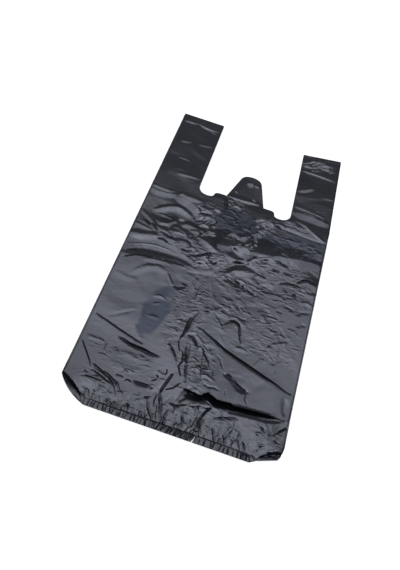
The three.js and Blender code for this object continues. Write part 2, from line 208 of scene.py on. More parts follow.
@dataclass(frozen=True)
class Corner:
    """A lower corner that is pushed in: the two folded edges that it leaves.

    Each edge is given by how far its points stand in and up from where the corner was. A single
    point is the middle of a curve.
    """

    width: float
    height: float
    front_edge: tuple[Point, ...]
    back_edge: tuple[Point, ...]
    curve_steps: int = 10

    def edge(self, side: int, half_width: float, bottom: float, front: bool) -> list[Point]:
        """The folded edge from the side down to the bottom.

        Args:
            side: -1 on the left, 1 on the right.
            half_width: Half the bag's width.
            bottom: The height of the bottom edge.
            front: Whether it is the front pair of plies.

        Returns:
            The points from the side's end, both ends included.
        """
        offsets = self.front_edge if front else self.back_edge
        bends = [(side * (half_width - inward), bottom + up) for inward, up in offsets]
        start = (side * half_width, bottom + self.height)
        end = (side * (half_width - self.width), bottom)
        if len(bends) == 1:
            return [start] + quadratic(start, bends[0], end, self.curve_steps)
        return [start] + bends + [end]


@dataclass(frozen=True)
class Pattern:
    """The flat sizes of the bag, in mm, with the origin in the middle of its outline."""

    width: float
    length: float
    gusset: float = 80.0
    mouth_width: float = 152.0
    mouth_depth: float = 167.0
    mouth_shift: float = 3.0
    throat_radius: float = 17.0
    shoulder_rise: float = 12.0
    shoulder_width: float = 10.0
    tab_base: float = 62.0
    tab_top: float = 29.0
    tab_rise: float = 67.0
    tab_rounding: float = 11.0
    left_drop: float = 6.0
    right_skew: float = 0.17
    lean: float = 0.035
    bottom_weld: float = 8.5
    top_weld: float = 2.5
    left_corner: Corner = Corner(40.0, 28.0, ((20.0, 23.0),), ((15.0, 8.0),))
    right_corner: Corner = Corner(
        38.0,
        30.0,
        ((1.5, 22.0), (11.0, 19.5), (19.0, 17.0), (24.0, 11.0)),
        ((2.3, 18.0), (5.4, 13.0), (16.0, 9.2), (30.0, 4.3)),
    )
    slit: tuple[Point, ...] = ((32.6, 0.0), (36.8, 8.0), (34.3, 0.0))
    throat_steps: int = 10
    shoulder_steps: int = 4
    tab_steps: int = 8

    @property
    def half_width(self) -> float:
        """Half the flat width."""
        return self.width / 2

    @property
    def half_length(self) -> float:
        """Half the length."""
        return self.length / 2

    @property
    def mouth_low(self) -> float:
        """The height of the throats, the lowest points of the mouth."""
        return self.half_length - self.mouth_depth

    @property
    def weld_y(self) -> float:
        """The height of the bottom weld."""
        return self.bottom_weld - self.half_length

    def handle_top(self, x: np.ndarray) -> np.ndarray:
        """The height of the handles' cut tops at a place across the bag."""
        highest = self.half_width - self.lean * self.mouth_depth
        right = self.half_length - self.right_skew * (highest - x)
        return np.where(x < self.mouth_shift, self.half_length - self.left_drop, right)

    def mouth_edge(self) -> list[Point]:
        """The cut edge of the mouth, from the left handle's top round the tab to the right one's.

        Returns:
            The points in order, both ends included.
        """
        middle, low = self.mouth_shift, self.mouth_low
        half = self.mouth_width / 2
        throat = half - self.throat_radius
        shoulder = self.tab_base / 2 + self.shoulder_width
        blend = (throat + shoulder) / 2
        shoulder_y = low + self.shoulder_rise
        blend_y = low + self.shoulder_rise / 2
        tab_y = low + self.tab_rise
        slope = (self.tab_rise - self.shoulder_rise) / ((self.tab_base - self.tab_top) / 2)
        rounding = self.tab_top / 2 + self.tab_rounding / slope
        left_side = [(middle - half, low + self.throat_radius)]
        curves = (
            ((middle - half, low), (middle - throat, low), self.throat_steps),
            ((middle - blend, low), (middle - blend, blend_y), self.shoulder_steps),
            ((middle - blend, shoulder_y), (middle - shoulder, shoulder_y), self.shoulder_steps),
        )
        for bend, end, steps in curves:
            left_side += quadratic(left_side[-1], bend, end, steps)
        left_side.append((middle - self.tab_base / 2, shoulder_y))
        left_side.append((middle - rounding, tab_y - self.tab_rounding))
        corner = (middle - self.tab_top / 2, tab_y)
        left_side += quadratic(left_side[-1], corner, (middle, tab_y), self.tab_steps)
        right_side = [(2 * middle - x, y) for x, y in reversed(left_side[:-1])]
        left_top = (middle - half, self.half_length - self.left_drop)
        top_x = middle + half - self.lean * (self.mouth_depth - self.left_drop)
        right_top = (top_x, float(self.handle_top(np.float64(top_x))))
        return [left_top] + left_side + right_side + [right_top]

    def side_edge(self, side: int, front: bool) -> list[Point]:
        """A folded side edge, from the handle's top to the bottom.

        Args:
            side: -1 on the left, 1 on the right.
            front: Whether it is the front pair of plies.

        Returns:
            The points in order, both ends included.
        """
        corner = self.left_corner if side < 0 else self.right_corner
        edge = corner.edge(side, self.half_width, -self.half_length, front)
        if side < 0:
            return [(-self.half_width, self.half_length - self.left_drop)] + edge
        top = (self.half_width - self.lean * self.mouth_depth, self.half_length)
        return [top, (self.half_width, self.mouth_low)] + edge

    def panel(self, front: bool) -> list[Point]:
        """The outline of a whole panel.

        Args:
            front: Whether it is the front panel or the back one.

        Returns:
            The outline's corners in order.
        """
        left = self.side_edge(-1, front)
        right = self.side_edge(1, front)
        slit = [(x, up - self.half_length) for x, up in self.slit]
        return left + slit + right[::-1] + self.mouth_edge()[::-1]

    def gusset_ply(self, side: int, front: bool) -> list[Point]:
        """The outline of one ply of a gusset.

        Args:
            side: -1 on the left, 1 on the right.
            front: Whether it is the upper ply, which joins the front panel.

        Returns:
            The outline's corners in order.
        """
        fold = side * (self.half_width - self.gusset)
        outer = self.side_edge(side, front)
        cut = [p for p in self.mouth_edge() if side * p[0] > side * fold]
        cut = cut if side < 0 else cut[::-1]
        low_x, low_y = cut[-1]
        return outer + [(fold, -self.half_length), (fold, low_y)] + cut[::-1]


# Creases and crumples

@dataclass(frozen=True)
class Fold:
    """A crease of the front panel along a line of points.

    It stands "rise" high, or lies that deep where it is negative, and runs out over "far" on the
    left of its line and over "near" on the right. "lean" pushes its crest over to the right,
    and a "power" over 1 hollows its flanks.
    """

    line: tuple[Point, ...]
    rise: float
    far: float
    near: float
    lean: float = 0.0
    power: float = 1.0
    sharp_below: ClassVar[float] = 4.0
    narrow_below: ClassVar[float] = 7.0
    end_width: ClassVar[float] = 0.45
    end_loss: ClassVar[float] = 0.55

    @property
    def sharp(self) -> bool:
        """Whether it stays as crisp as film that was pressed along a line."""
        return min(self.far, self.near) < self.sharp_below

    @property
    def leaning(self) -> Point:
        """How far its crest is pushed over, as a way across and a way along the bag."""
        (x0, y0), (x1, y1) = self.line[0], self.line[-1]
        share = self.lean / math.dist((x0, y0), (x1, y1))
        return (y1 - y0) * share, (x0 - x1) * share

    @property
    def narrow(self) -> bool:
        """Whether the mesh needs points of its own along the crease."""
        return min(self.far, self.near) < self.narrow_below


def fold_profile(fold: Fold, x: np.ndarray, y: np.ndarray) -> np.ndarray:
    """How much of a crease's rise each place gets.

    Args:
        fold: The crease.
        x: Places across the bag.
        y: Places along the bag.

    Returns:
        The shares, from 0 away from the crease to 1 on its crest.
    """
    crest = np.array(fold.line)
    nearest = np.full(x.shape, np.inf)
    along = np.zeros(x.shape)
    side = np.zeros(x.shape)
    lengths = np.hypot(*np.diff(crest, axis=0).T)
    before = np.concatenate([[0.0], np.cumsum(lengths)])
    for i, length in enumerate(lengths):
        (x0, y0), (x1, y1) = crest[i], crest[i + 1]
        dx, dy = (x1 - x0) / length, (y1 - y0) / length
        run = np.clip((x - x0) * dx + (y - y0) * dy, 0, length)
        gap = np.hypot(x - x0 - run * dx, y - y0 - run * dy)
        closer = gap < nearest
        nearest = np.where(closer, gap, nearest)
        along = np.where(closer, (before[i] + run) / before[-1], along)
        side = np.where(closer, dx * (y - y0) - dy * (x - x0), side)
    taper = 1 - np.abs(2 * along - 1) ** 3
    reach = np.where(side < 0, fold.near, fold.far) * (fold.end_width + fold.end_loss * taper)
    return np.clip(1 - nearest / reach, 0, 1) ** fold.power * taper


@dataclass(frozen=True)
class Crinkle:
    """A soft-edged oval of the front panel that is broken into flat facets."""

    centre: Point
    reach: Point
    turn: float
    across: float
    along: float
    angle: float
    rise: float


@dataclass
class Raster:
    """A square grid over the bag's plan, with the sums and samples taken on it."""

    reach: Point
    pitch: float
    x: np.ndarray = field(init=False)
    y: np.ndarray = field(init=False)

    def __post_init__(self) -> None:
        """Lays out the grid."""
        across = np.arange(-self.reach[0], self.reach[0], self.pitch)
        along = np.arange(-self.reach[1], self.reach[1], self.pitch)
        self.x, self.y = np.meshgrid(across, along)

    def window(self, points: np.ndarray, reach: float) -> tuple[slice, slice]:
        """The part of the grid round some points.

        Args:
            points: Rows of x and y.
            reach: How far round them, in mm.

        Returns:
            The rows and the columns, as slices.
        """
        low = np.array([-self.reach[0], -self.reach[1]])
        first = np.floor((points.min(axis=0) - reach - low) / self.pitch).astype(int)
        last = np.ceil((points.max(axis=0) + reach - low) / self.pitch).astype(int) + 1
        first, last = np.maximum(first, 0), np.maximum(last, 0)
        return slice(first[1], last[1]), slice(first[0], last[0])

    def blurred(self, values: np.ndarray, cells: int, passes: int = 2) -> np.ndarray:
        """Values smoothed by repeated passes of a box.

        Args:
            values: What is smoothed.
            cells: The box's half width in cells.
            passes: How often it passes.

        Returns:
            The smoothed values.
        """
        width = 2 * cells + 1
        for axis in (0, 1):
            for _ in range(passes):
                pads = [(cells + 1, cells) if k == axis else (0, 0) for k in (0, 1)]
                total = np.cumsum(np.pad(values, pads, mode="edge"), axis=axis)
                upper = np.take(total, range(width, total.shape[axis]), axis=axis)
                lower = np.take(total, range(0, total.shape[axis] - width), axis=axis)
                values = (upper - lower) / width
        return values

    def sample(self, values: np.ndarray, x: np.ndarray, y: np.ndarray) -> np.ndarray:
        """Values between the grid's points.

        Args:
            values: What is sampled.
            x: Where, across the bag.
            y: Where, along the bag.

        Returns:
            The value at each place.
        """
        column = (x + self.reach[0]) / self.pitch
        row = (y + self.reach[1]) / self.pitch
        return interpolated(values, column, row)


@dataclass
class HeightMap:
    """The rise of the front panel over its level, how finely it is creased, and its painted shades."""

    raster: Raster
    seed: int
    facet_steps: int = 6
    facet_margin: float = 1.5
    fine_across: float = 8.0
    wide_reach: float = 100.0
    patch_reach: float = 1.3
    patch_fade: Point = (0.6, 1.15)
    sway: Point = (5.0, 2.5)
    sway_across: Point = (17.0, 9.0)
    sway_along: Point = (19.0, 10.0)
    shade_margin: float = 8.0
    rise: np.ndarray = field(init=False)
    creased: np.ndarray = field(init=False)
    shades: dict[str, np.ndarray] = field(init=False)
    random: np.random.Generator = field(init=False)

    def __post_init__(self) -> None:
        """Starts with a flat panel."""
        shape = self.raster.x.shape
        self.rise = np.zeros(shape)
        self.creased = np.zeros(shape)
        self.shades = {tone.value: np.zeros(shape) for tone in Tone}
        self.random = np.random.default_rng(self.seed)

    def add_fold(self, fold: Fold) -> None:
        """Adds one crease to the rise.

        Args:
            fold: The crease.
        """
        part = self.raster.window(np.array(fold.line), max(fold.far, fold.near))
        self.rise[part] += fold.rise * fold_profile(fold, self.raster.x[part], self.raster.y[part])

    def add_shade(self, shade: Shade) -> None:
        """Marks one part with painted shade.

        Args:
            shade: The part.
        """
        loop = np.array(shade.outline, float)
        part = self.raster.window(loop, self.shade_margin)
        within = inside(loop, self.raster.x[part], self.raster.y[part]).astype(float)
        within = shade.strength * self.raster.blurred(within, shade.softness)
        tone = self.shades[shade.tone.value]
        tone[part] = np.maximum(tone[part], within)

    def add_crinkle(self, crinkle: Crinkle) -> None:
        """Adds one patch of flat facets to the rise.

        Args:
            crinkle: The patch.
        """
        centre = np.array(crinkle.centre)
        size = max(crinkle.reach) * self.patch_reach
        part = self.raster.window(np.array([centre - size, centre + size]), 0.0)
        x = self.raster.x[part] - centre[0]
        y = self.raster.y[part] - centre[1]
        turn = math.radians(crinkle.turn)
        u = (x * math.cos(turn) + y * math.sin(turn)) / crinkle.reach[0]
        v = (y * math.cos(turn) - x * math.sin(turn)) / crinkle.reach[1]
        strength = 1 - smoothstep(*self.patch_fade, np.hypot(u, v))
        phase = self.random.uniform(0, 2 * math.pi, 4)
        (wide, small), across, along = self.sway, self.sway_across, self.sway_along
        warped_x = x + wide * np.sin(y / across[0] + phase[0]) + small * np.sin(x / across[1] + phase[1])
        warped_y = y + wide * np.sin(x / along[0] + phase[2]) + small * np.sin(y / along[1] + phase[3])
        angle = math.radians(crinkle.angle)
        u = (warped_x * math.cos(angle) + warped_y * math.sin(angle)) / crinkle.along
        v = (warped_y * math.cos(angle) - warped_x * math.sin(angle)) / crinkle.across
        self.rise[part] += crinkle.rise * strength * self.facets(u, v)
        if crinkle.across < self.fine_across and max(crinkle.reach) < self.wide_reach:
            self.creased[part] = np.maximum(self.creased[part], strength)

    def facets(self, u: np.ndarray, v: np.ndarray) -> np.ndarray:
        """Flat facets between scattered points at random heights.

        Args:
            u: Where along the facets, in facets.
            v: Where across them, in facets.

        Returns:
            Heights from -0.5 to 0.5.
        """
        steps = self.facet_steps
        low = np.array([u.min(), v.min()]) - self.facet_margin
        high = np.array([u.max(), v.max()]) + self.facet_margin
        columns, rows = (int(n) for n in np.ceil(high - low))
        a, b = np.meshgrid(np.arange(columns + 1.0), np.arange(rows + 1.0))
        a = a.ravel() + self.random.uniform(-0.5, 0.5, a.size)
        b = b.ravel() + self.random.uniform(-0.5, 0.5, b.size)
        heights = self.random.uniform(-0.5, 0.5, a.size)
        found = delaunay_2d_cdt([Vector(p) for p in zip(a, b)], [], [], 0, TINY)
        origin = [ids[0] for ids in found[3]]
        values = np.zeros((rows * steps + 1, columns * steps + 1))
        for triangle in found[2]:
            ids = [origin[i] for i in triangle]
            fill_facet(values, np.column_stack([a[ids], b[ids]]) * steps, heights[ids])
        return interpolated(values, (u - low[0]) * steps, (v - low[1]) * steps)


def fill_facet(values: np.ndarray, corners: np.ndarray, heights: np.ndarray) -> None:
    """Writes one flat facet into a grid of heights.

    Args:
        values: The grid that is written to.
        corners: The facet's corners as rows of column and row.
        heights: The heights at its corners.
    """
    first = np.maximum(np.floor(corners.min(axis=0)).astype(int), 0)
    last = np.maximum(np.ceil(corners.max(axis=0)).astype(int) + 1, 0)
    part = (slice(first[1], last[1]), slice(first[0], last[0]))
    if not values[part].size:
        return
    rows, columns = values[part].shape
    x, y = np.meshgrid(first[0] + np.arange(columns), first[1] + np.arange(rows))
    (x0, y0), (x1, y1), (x2, y2) = corners
    area = (x1 - x0) * (y2 - y0) - (x2 - x0) * (y1 - y0)
    if abs(area) < ROUNDING:
        return
    b = ((x - x0) * (y2 - y0) - (x2 - x0) * (y - y0)) / area
    c = ((x1 - x0) * (y - y0) - (x - x0) * (y1 - y0)) / area
    within = (b >= -ROUNDING) & (c >= -ROUNDING) & (b + c <= 1 + ROUNDING)
    plane = heights[0] + b * (heights[1] - heights[0]) + c * (heights[2] - heights[0])
    values[part] = np.where(within, plane, values[part])


# Where the panel is folded. The far side of a crease that runs to the right is its upper side.

LOWER_FOLDS = (
    # the two short creases on the left and the long one on the right
    Fold(((-140, -149), (-120, -154.5), (-100, -160.5), (-80, -166), (-61, -170.5)), -1.2, 0.8, 2.4),
    Fold(
        (
            (-99, -170.5), (-90, -171.5), (-80, -174), (-70, -175), (-60, -175.5),
            (-50, -177.5), (-36, -179),
        ),
        -2.2, 0.8, 5.4,
    ),
    Fold(
        (
            (-9, -120), (5, -123), (15, -127.5), (25, -132), (40, -139), (60, -145.5), (80, -151.5),
            (100, -158), (113, -161.5), (125, -166), (133, -169), (143, -170.5),
        ),
        -1.7, 0.8, 3.3,
    ),
    Fold(((-2, -129), (40, -145), (75, -157), (130, -174)), 0.5, 4, 14),
    # the dark fold with the film standing over it
    Fold(
        (
            (-14, -209), (9, -207.5), (14, -208.5), (28, -210), (31, -206), (36, -203), (40, -205),
            (48, -208), (60, -208), (66, -206.5), (71, -209.5), (100, -207), (117, -205.6), (150, -205.4),
        ),
        4.6, 62, 0.9, 1.6, 1.25,
    ),
    Fold(
        (
            (2, -209), (28, -211), (31, -207), (36, -204), (40, -206), (48, -209), (60, -209),
            (66, -207.5), (71, -210.5), (100, -208), (122, -206),
        ),
        -2.6, 0.9, 11,
    ),
    Fold(
        (
            (16, -227), (30, -222.5), (46, -219.5), (60, -217.8), (79, -214.8), (100, -213.4),
            (114, -211), (130, -207),
        ),
        2.4, 10, 46,
    ),
    Fold(((6, -232), (16, -227), (30, -222.5), (46, -219.5)), 1.8, 13, 5),
    Fold(((28, -211), (37, -214), (46, -218)), 0.8, 1.2, 1.2),
    Fold(
        (
            (54, -221.4), (64, -219.6), (79, -216.6), (100, -215), (114, -214.4), (125, -211.5),
            (141, -206),
        ),
        -1.1, 0.9, 3.4,
    ),
    Fold(((49, -233), (58, -229), (68, -225.5), (76, -223), (83, -225)), -1.6, 0.8, 3.6),
    Fold(((47, -220), (40, -227.5), (36, -236), (34, -246), (33, -257)), -1.8, 2.0, 2.0),
    Fold(((-9, -231), (0, -232.5), (6, -231), (17, -226)), -1.3, 1.2, 2.4),
    Fold(((0, -233), (2, -238), (0, -244)), -0.9, 1.1, 1.1),
    # the folds that run down the middle
    Fold(((-20, -56), (-20.5, -72), (-20.5, -88)), -0.4, 1.2, 1.2),
    Fold(((-16, -108), (-18, -120), (-18.5, -138), (-22, -148)), -1.8, 2.2, 2.0),
    Fold(((-22, -147), (-20, -155), (-15.5, -164)), -1.0, 1.2, 1.2),
    Fold(((-7.5, -100), (-13, -112), (-14.5, -128), (-15, -139)), 1.1, 2.4, 1.6),
    Fold(((-15, -134), (-8, -131), (0, -130.5)), 0.9, 1.5, 3),
    Fold(((-14, -137.5), (-5, -138), (0, -143), (7, -152)), -1.3, 1.4, 3),
    Fold(((-37, -155.5), (-29, -160.5), (-23, -166), (-17, -174), (-13, -181)), -0.9, 1.5, 2.6),
    Fold(
        ((-14.5, -158), (-10.5, -166), (-8.5, -176), (-11, -183), (-6.5, -191), (-2.5, -198)),
        -1.2, 1.4, 1.4,
    ),
    Fold(((-5, -144), (-4, -160), (-3, -172), (-0.5, -186), (3, -198), (6, -205)), -1.1, 2.4, 2.3),
    Fold(((1, -146), (3, -166), (8, -184), (13, -198)), 0.7, 5, 4),
    Fold(((-10, -150), (-8, -165), (-6, -178)), 1.0, 2, 2),
    Fold(((-3, -133), (5, -137.5), (13, -143)), 1.0, 2, 3),
    Fold(((9, -143.5), (20, -152), (28, -155)), 1.0, 2, 3),
    Fold(((10, -146), (16, -156), (22, -162), (29, -166)), -1.0, 1.2, 1.6),
    Fold(((29, -149), (38, -155), (42, -162), (47, -168)), -0.4, 1.3, 2.2),
    Fold(((11, -171), (18, -176), (25, -174.5), (29, -172)), -0.8, 1.1, 1.3),
    Fold(((22, -162), (27, -169), (33, -175), (36, -182)), -0.7, 1.1, 1.2),
    Fold(((4, -181), (12, -178), (20, -181)), 0.9, 1.8, 3.4),
    Fold(((14, -186), (26, -183), (40, -187)), 0.9, 2.4, 4),
    Fold(((-14, -193), (-17.5, -205), (-21, -217), (-22, -227)), -2.2, 2.6, 2.2),
    Fold(((-22, -223), (-17, -236), (-13, -247), (-9.5, -258)), -2.4, 3.0, 3.0),
    Fold(((-24, -224), (-25.5, -234), (-23, -245)), -1.1, 1.2, 1.2),
    Fold(((-1, -202), (-8, -212.6), (-18, -218.5)), -1.2, 1.3, 1.3),
    Fold(((-24, -191), (-22, -196), (-23.5, -201)), -0.8, 1.2, 1.2),
    Fold(((6, -210), (4, -222), (0, -230)), 1.3, 5, 3),
    # the low ridges right of the middle
    Fold(((45, -172), (56, -173), (66, -180.5), (76, -185), (87, -186)), -1.2, 2, 6.5),
    Fold(((81.5, -186), (82.5, -196), (87, -203)), -0.68, 1.6, 1.6),
    Fold(((55, -192), (56.5, -200)), -0.52, 1.4, 1.4),
    Fold(((22, -193), (33, -196), (41, -194), (49, -196)), -0.68, 1.8, 3.4),
    Fold(((131, -176), (136, -202)), -0.9, 6, 6),
    # the crossing creases at the lower left
    Fold(((-141, -189), (-130, -201.5), (-119, -214.5), (-113.5, -222)), -0.81, 1.1, 1.1),
    Fold(
        (
            (-116, -214.5), (-108, -218.5), (-100, -221.5), (-92, -225), (-84, -230),
            (-77, -237), (-70, -247),
        ),
        -1.1, 1.2, 1.6,
    ),
    Fold(((-100, -220), (-90, -223), (-82, -227), (-76, -229), (-70, -237), (-60, -242)), -1.2, 1.0, 3.4),
    Fold(((-114, -224), (-105, -226), (-99, -228), (-92, -230.5), (-81, -234)), -1.26, 1.3, 1.9),
    Fold(((-112, -221.5), (-100, -225), (-87, -229.5)), 0.9, 2, 2.4),
    Fold(((-126, -237.5), (-116, -234.2), (-105, -233.8), (-98, -234.3), (-85, -235.5)), -0.81, 1.1, 1.4),
    Fold(((-123, -231.5), (-119, -229), (-113, -228.7)), -0.63, 1, 1.2),
    Fold(((-111, -231), (-105, -229.5), (-98, -231)), -0.54, 1, 1.2),
    Fold(((-84, -219.8), (-69, -220)), -0.63, 1, 1.8),
    Fold(((-71, -225.5), (-67, -222), (-63, -221.5), (-58.5, -224)), -0.72, 1.1, 1.1),
    Fold(((-60, -220), (-48, -219.5), (-35, -219)), -2.0, 0.8, 5.6),
    Fold(((-33.5, -203), (-29.5, -206.5)), -0.99, 1.2, 1.5),
    Fold(((-38, -213), (-33, -210.5), (-30.5, -207.5)), -0.81, 1.1, 1.2),
    Fold(((-37.5, -223.5), (-31, -221)), -0.81, 1.1, 1.4),
    Fold(((-46, -229), (-46.5, -238)), -0.54, 1, 1),
    Fold(((-41, -234.5), (-35, -235), (-30, -230.5)), -1.08, 1.4, 2.2),
    # the gathers above the weld
    Fold(((-104.5, -243), (-99.5, -250), (-97, -259)), -1.01, 2.38, 2.38),
    Fold(((-93.5, -235), (-96, -243), (-98, -248)), -0.5, 1.5, 1.5),
    Fold(((-91, -248), (-91, -259)), -0.65, 1.88, 1.88),
    Fold(((-84, -252), (-85, -259)), -0.43, 1.75, 1.75),
    Fold(((-76.5, -248), (-77.5, -259)), -0.65, 1.88, 1.88),
    Fold(((-80, -238), (-72, -246), (-64, -252)), -0.58, 1.5, 1.88),
    Fold(((-60, -249), (-60, -267)), -0.58, 1.5, 1.5),
    Fold(((-53, -241), (-57, -248), (-58, -259)), -0.65, 1.88, 1.88),
    Fold(((-33, -240.5), (-40, -244.5), (-47, -249), (-51.5, -257)), -0.87, 1.88, 2.38),
    Fold(((-40, -250), (-45.5, -259)), -0.58, 1.75, 1.75),
    Fold(((-27.5, -243), (-28, -251), (-30.5, -259)), -1.44, 2.5, 2.5),
    Fold(((-30, -235), (-33.5, -246)), -0.72, 1.88, 1.88),
    Fold(((1, -241), (8, -244.5), (1, -249.5)), -0.94, 2.25, 2.25),
    Fold(((-8, -259), (-5.5, -251), (-1, -247)), -0.72, 1.75, 1.75),
    Fold(((20.5, -241.5), (29, -246.5)), -0.87, 1.88, 2.5),
    Fold(((21, -246), (25, -252), (24, -259)), -0.58, 1.75, 1.75),
    Fold(((10, -236), (14, -244), (13, -254)), 0.65, 3.75, 3.12),
    Fold(((45, -237), (48, -244), (50, -250), (51, -259)), -0.72, 1.88, 1.88),
    Fold(((74, -232), (72, -239), (69, -246)), -0.65, 1.88, 1.88),
    Fold(((62, -244), (64.5, -250), (66, -259)), -0.65, 1.88, 1.88),
    Fold(((73, -244), (73.5, -251), (72, -259)), -0.65, 1.88, 1.88),
    Fold(((81, -241), (83, -249), (82, -259)), -0.72, 2, 2),
    Fold(((80, -235.5), (87, -238)), -0.8, 2, 2.5),
    # the crumpled lower right corner
    Fold(((94, -251.5), (105, -248)), -0.94, 2.25, 2.75),
    Fold(((98.5, -251), (94, -259)), -0.72, 1.88, 1.88),
    Fold(((106.5, -249), (104, -254), (101.5, -260)), -0.87, 2, 2),
    Fold(((113.5, -240), (109, -248.5)), -0.58, 1.88, 1.88),
    Fold(((120.5, -243), (114.5, -252), (108, -259)), -0.87, 2.25, 2.25),
    Fold(((106, -220.5), (114, -226), (120.5, -230.5)), -0.77, 1.4, 1.5),
    Fold(((119, -230.5), (127, -228), (134, -223)), -0.68, 1.4, 1.6),
    Fold(((143.5, -212.5), (137, -219), (129.5, -226)), -1.19, 1.8, 1.8),
    Fold(((126, -234), (139, -235.5)), -0.85, 1.5, 2.2),
    Fold(((112, -216), (118, -224), (122, -238)), 0.77, 3.8, 3.8),
)

MIDDLE_FOLDS = (
    # the soft forms of the smooth left side
    Fold(((-117, -77), (-110, -66), (-98, -56.5), (-84, -52.5), (-68, -56)), 0.9, 5, 8),
    Fold(((-69, -57), (-62, -66), (-55, -74)), 0.8, 3, 2.6),
    Fold(((-57, -73), (-48, -75), (-41, -71), (-36, -65)), -0.9, 1.4, 2.8),
    Fold(((-122, -148), (-90, -127)), -0.6, 3, 5),
    Fold(((-83, -103), (-84, -118), (-82, -132), (-85, -146), (-80, -156), (-64, -167)), 0.4, 5, 6),
    Fold(
        ((-56, -71), (-53, -86), (-50, -98), (-44, -110), (-49, -124), (-53, -142), (-61, -163)),
        0.5, 6, 5,
    ),
    Fold(((-76, -98), (-66, -95), (-56, -98)), 0.7, 2, 3),
    Fold(((-74, -111), (-62, -105)), 0.5, 1.8, 2.6),
    Fold(((-74, -129), (-56, -127)), 0.5, 2.5, 4),
    Fold(((-140, -80), (-120, -84), (-104, -82)), 0.5, 4, 6),
    Fold(((-96, -190), (-76, -190), (-60, -192), (-40, -191)), 0.8, 5, 6),
    Fold(((-100, -206), (-76, -209), (-52, -207)), 0.7, 5, 7),
    Fold(((-138, -183), (-124, -184), (-111, -183)), 0.7, 3, 4),
    Fold(((-108, -184), (-107, -198)), 0.6, 1.6, 1.6),
    Fold(((-44.5, -67), (-36, -64.7)), -1.4, 1.3, 1.6),
    Fold(((-2.5, -95.2), (5.5, -94.4)), -1.3, 1.2, 1.5),
    # the straight creases and arcs right of the middle
    Fold(((3, -88), (14, -98), (24, -107), (31, -120)), 0.52, 3, 3.4),
    Fold(((8, -92), (21, -82)), 0.42, 2.6, 3.8),
    Fold(((-4, -52), (2, -70), (4, -86)), 0.36, 4.5, 3.8),
    Fold(((22, -66), (28, -76), (31, -86)), 0.56, 3, 5),
    Fold(((31.5, -72), (38, -71), (45, -76), (51.5, -81.5)), -0.69, 2.2, 3.8),
    Fold(((32.5, -84), (40, -87), (48, -88), (58, -87)), -0.48, 2.2, 3),
    Fold(((49, -67), (62, -63), (76, -62), (84, -66), (91, -81)), -0.8, 4, 9),
    Fold(((74, -72), (85, -82)), 0.48, 3, 5.6),
    Fold(((76, -80), (80, -91), (82, -101)), -0.48, 5.6, 5.6),
    Fold(
        (
            (23, -107), (30, -103), (35, -98), (41, -96), (47, -97.5), (51, -102), (55, -116),
            (60, -127),
        ),
        -1.3, 2.0, 2.8,
    ),
    Fold(((28, -94), (44, -90), (60, -97)), 0.35, 5, 7.5),
    Fold(((58, -96), (72, -98)), -0.32, 2.2, 3),
    Fold(((102, -81), (110, -90), (118, -98)), -0.52, 3.4, 5.2),
    Fold(((99, -87), (106, -96), (113, -105)), -0.48, 3.4, 5.2),
    Fold(((92, -125), (98, -113), (108, -107), (120, -101)), 0.7, 3.8, 5),
    Fold(((76, -126), (86, -127), (93, -123)), -0.36, 3.8, 5.6),
    Fold(((112, -116), (114, -127), (108, -135), (98, -139)), -0.48, 4.8, 5.6),
    Fold(((82.5, -151), (88, -141), (92.5, -134)), 0.48, 3.4, 4.5),
    Fold(((112, -146), (113, -154)), 0.27, 2.6, 2.6),
    Fold(((50, -134), (60, -131), (70, -134)), 0.56, 3, 5),
    Fold(((28, -122), (33, -130), (38, -136)), 0.36, 3, 3.8),
    Fold(((120, -54), (132, -46), (144, -42)), -0.52, 2.6, 5.6),
    Fold(((58, -56), (70, -58), (86, -57)), -0.52, 2.6, 4.9),
    Fold(((92, -56), (104, -58)), -0.48, 2.2, 4.1),
    Fold(((124, -72), (132, -66), (140, -66)), -0.49, 2.5, 5),
)

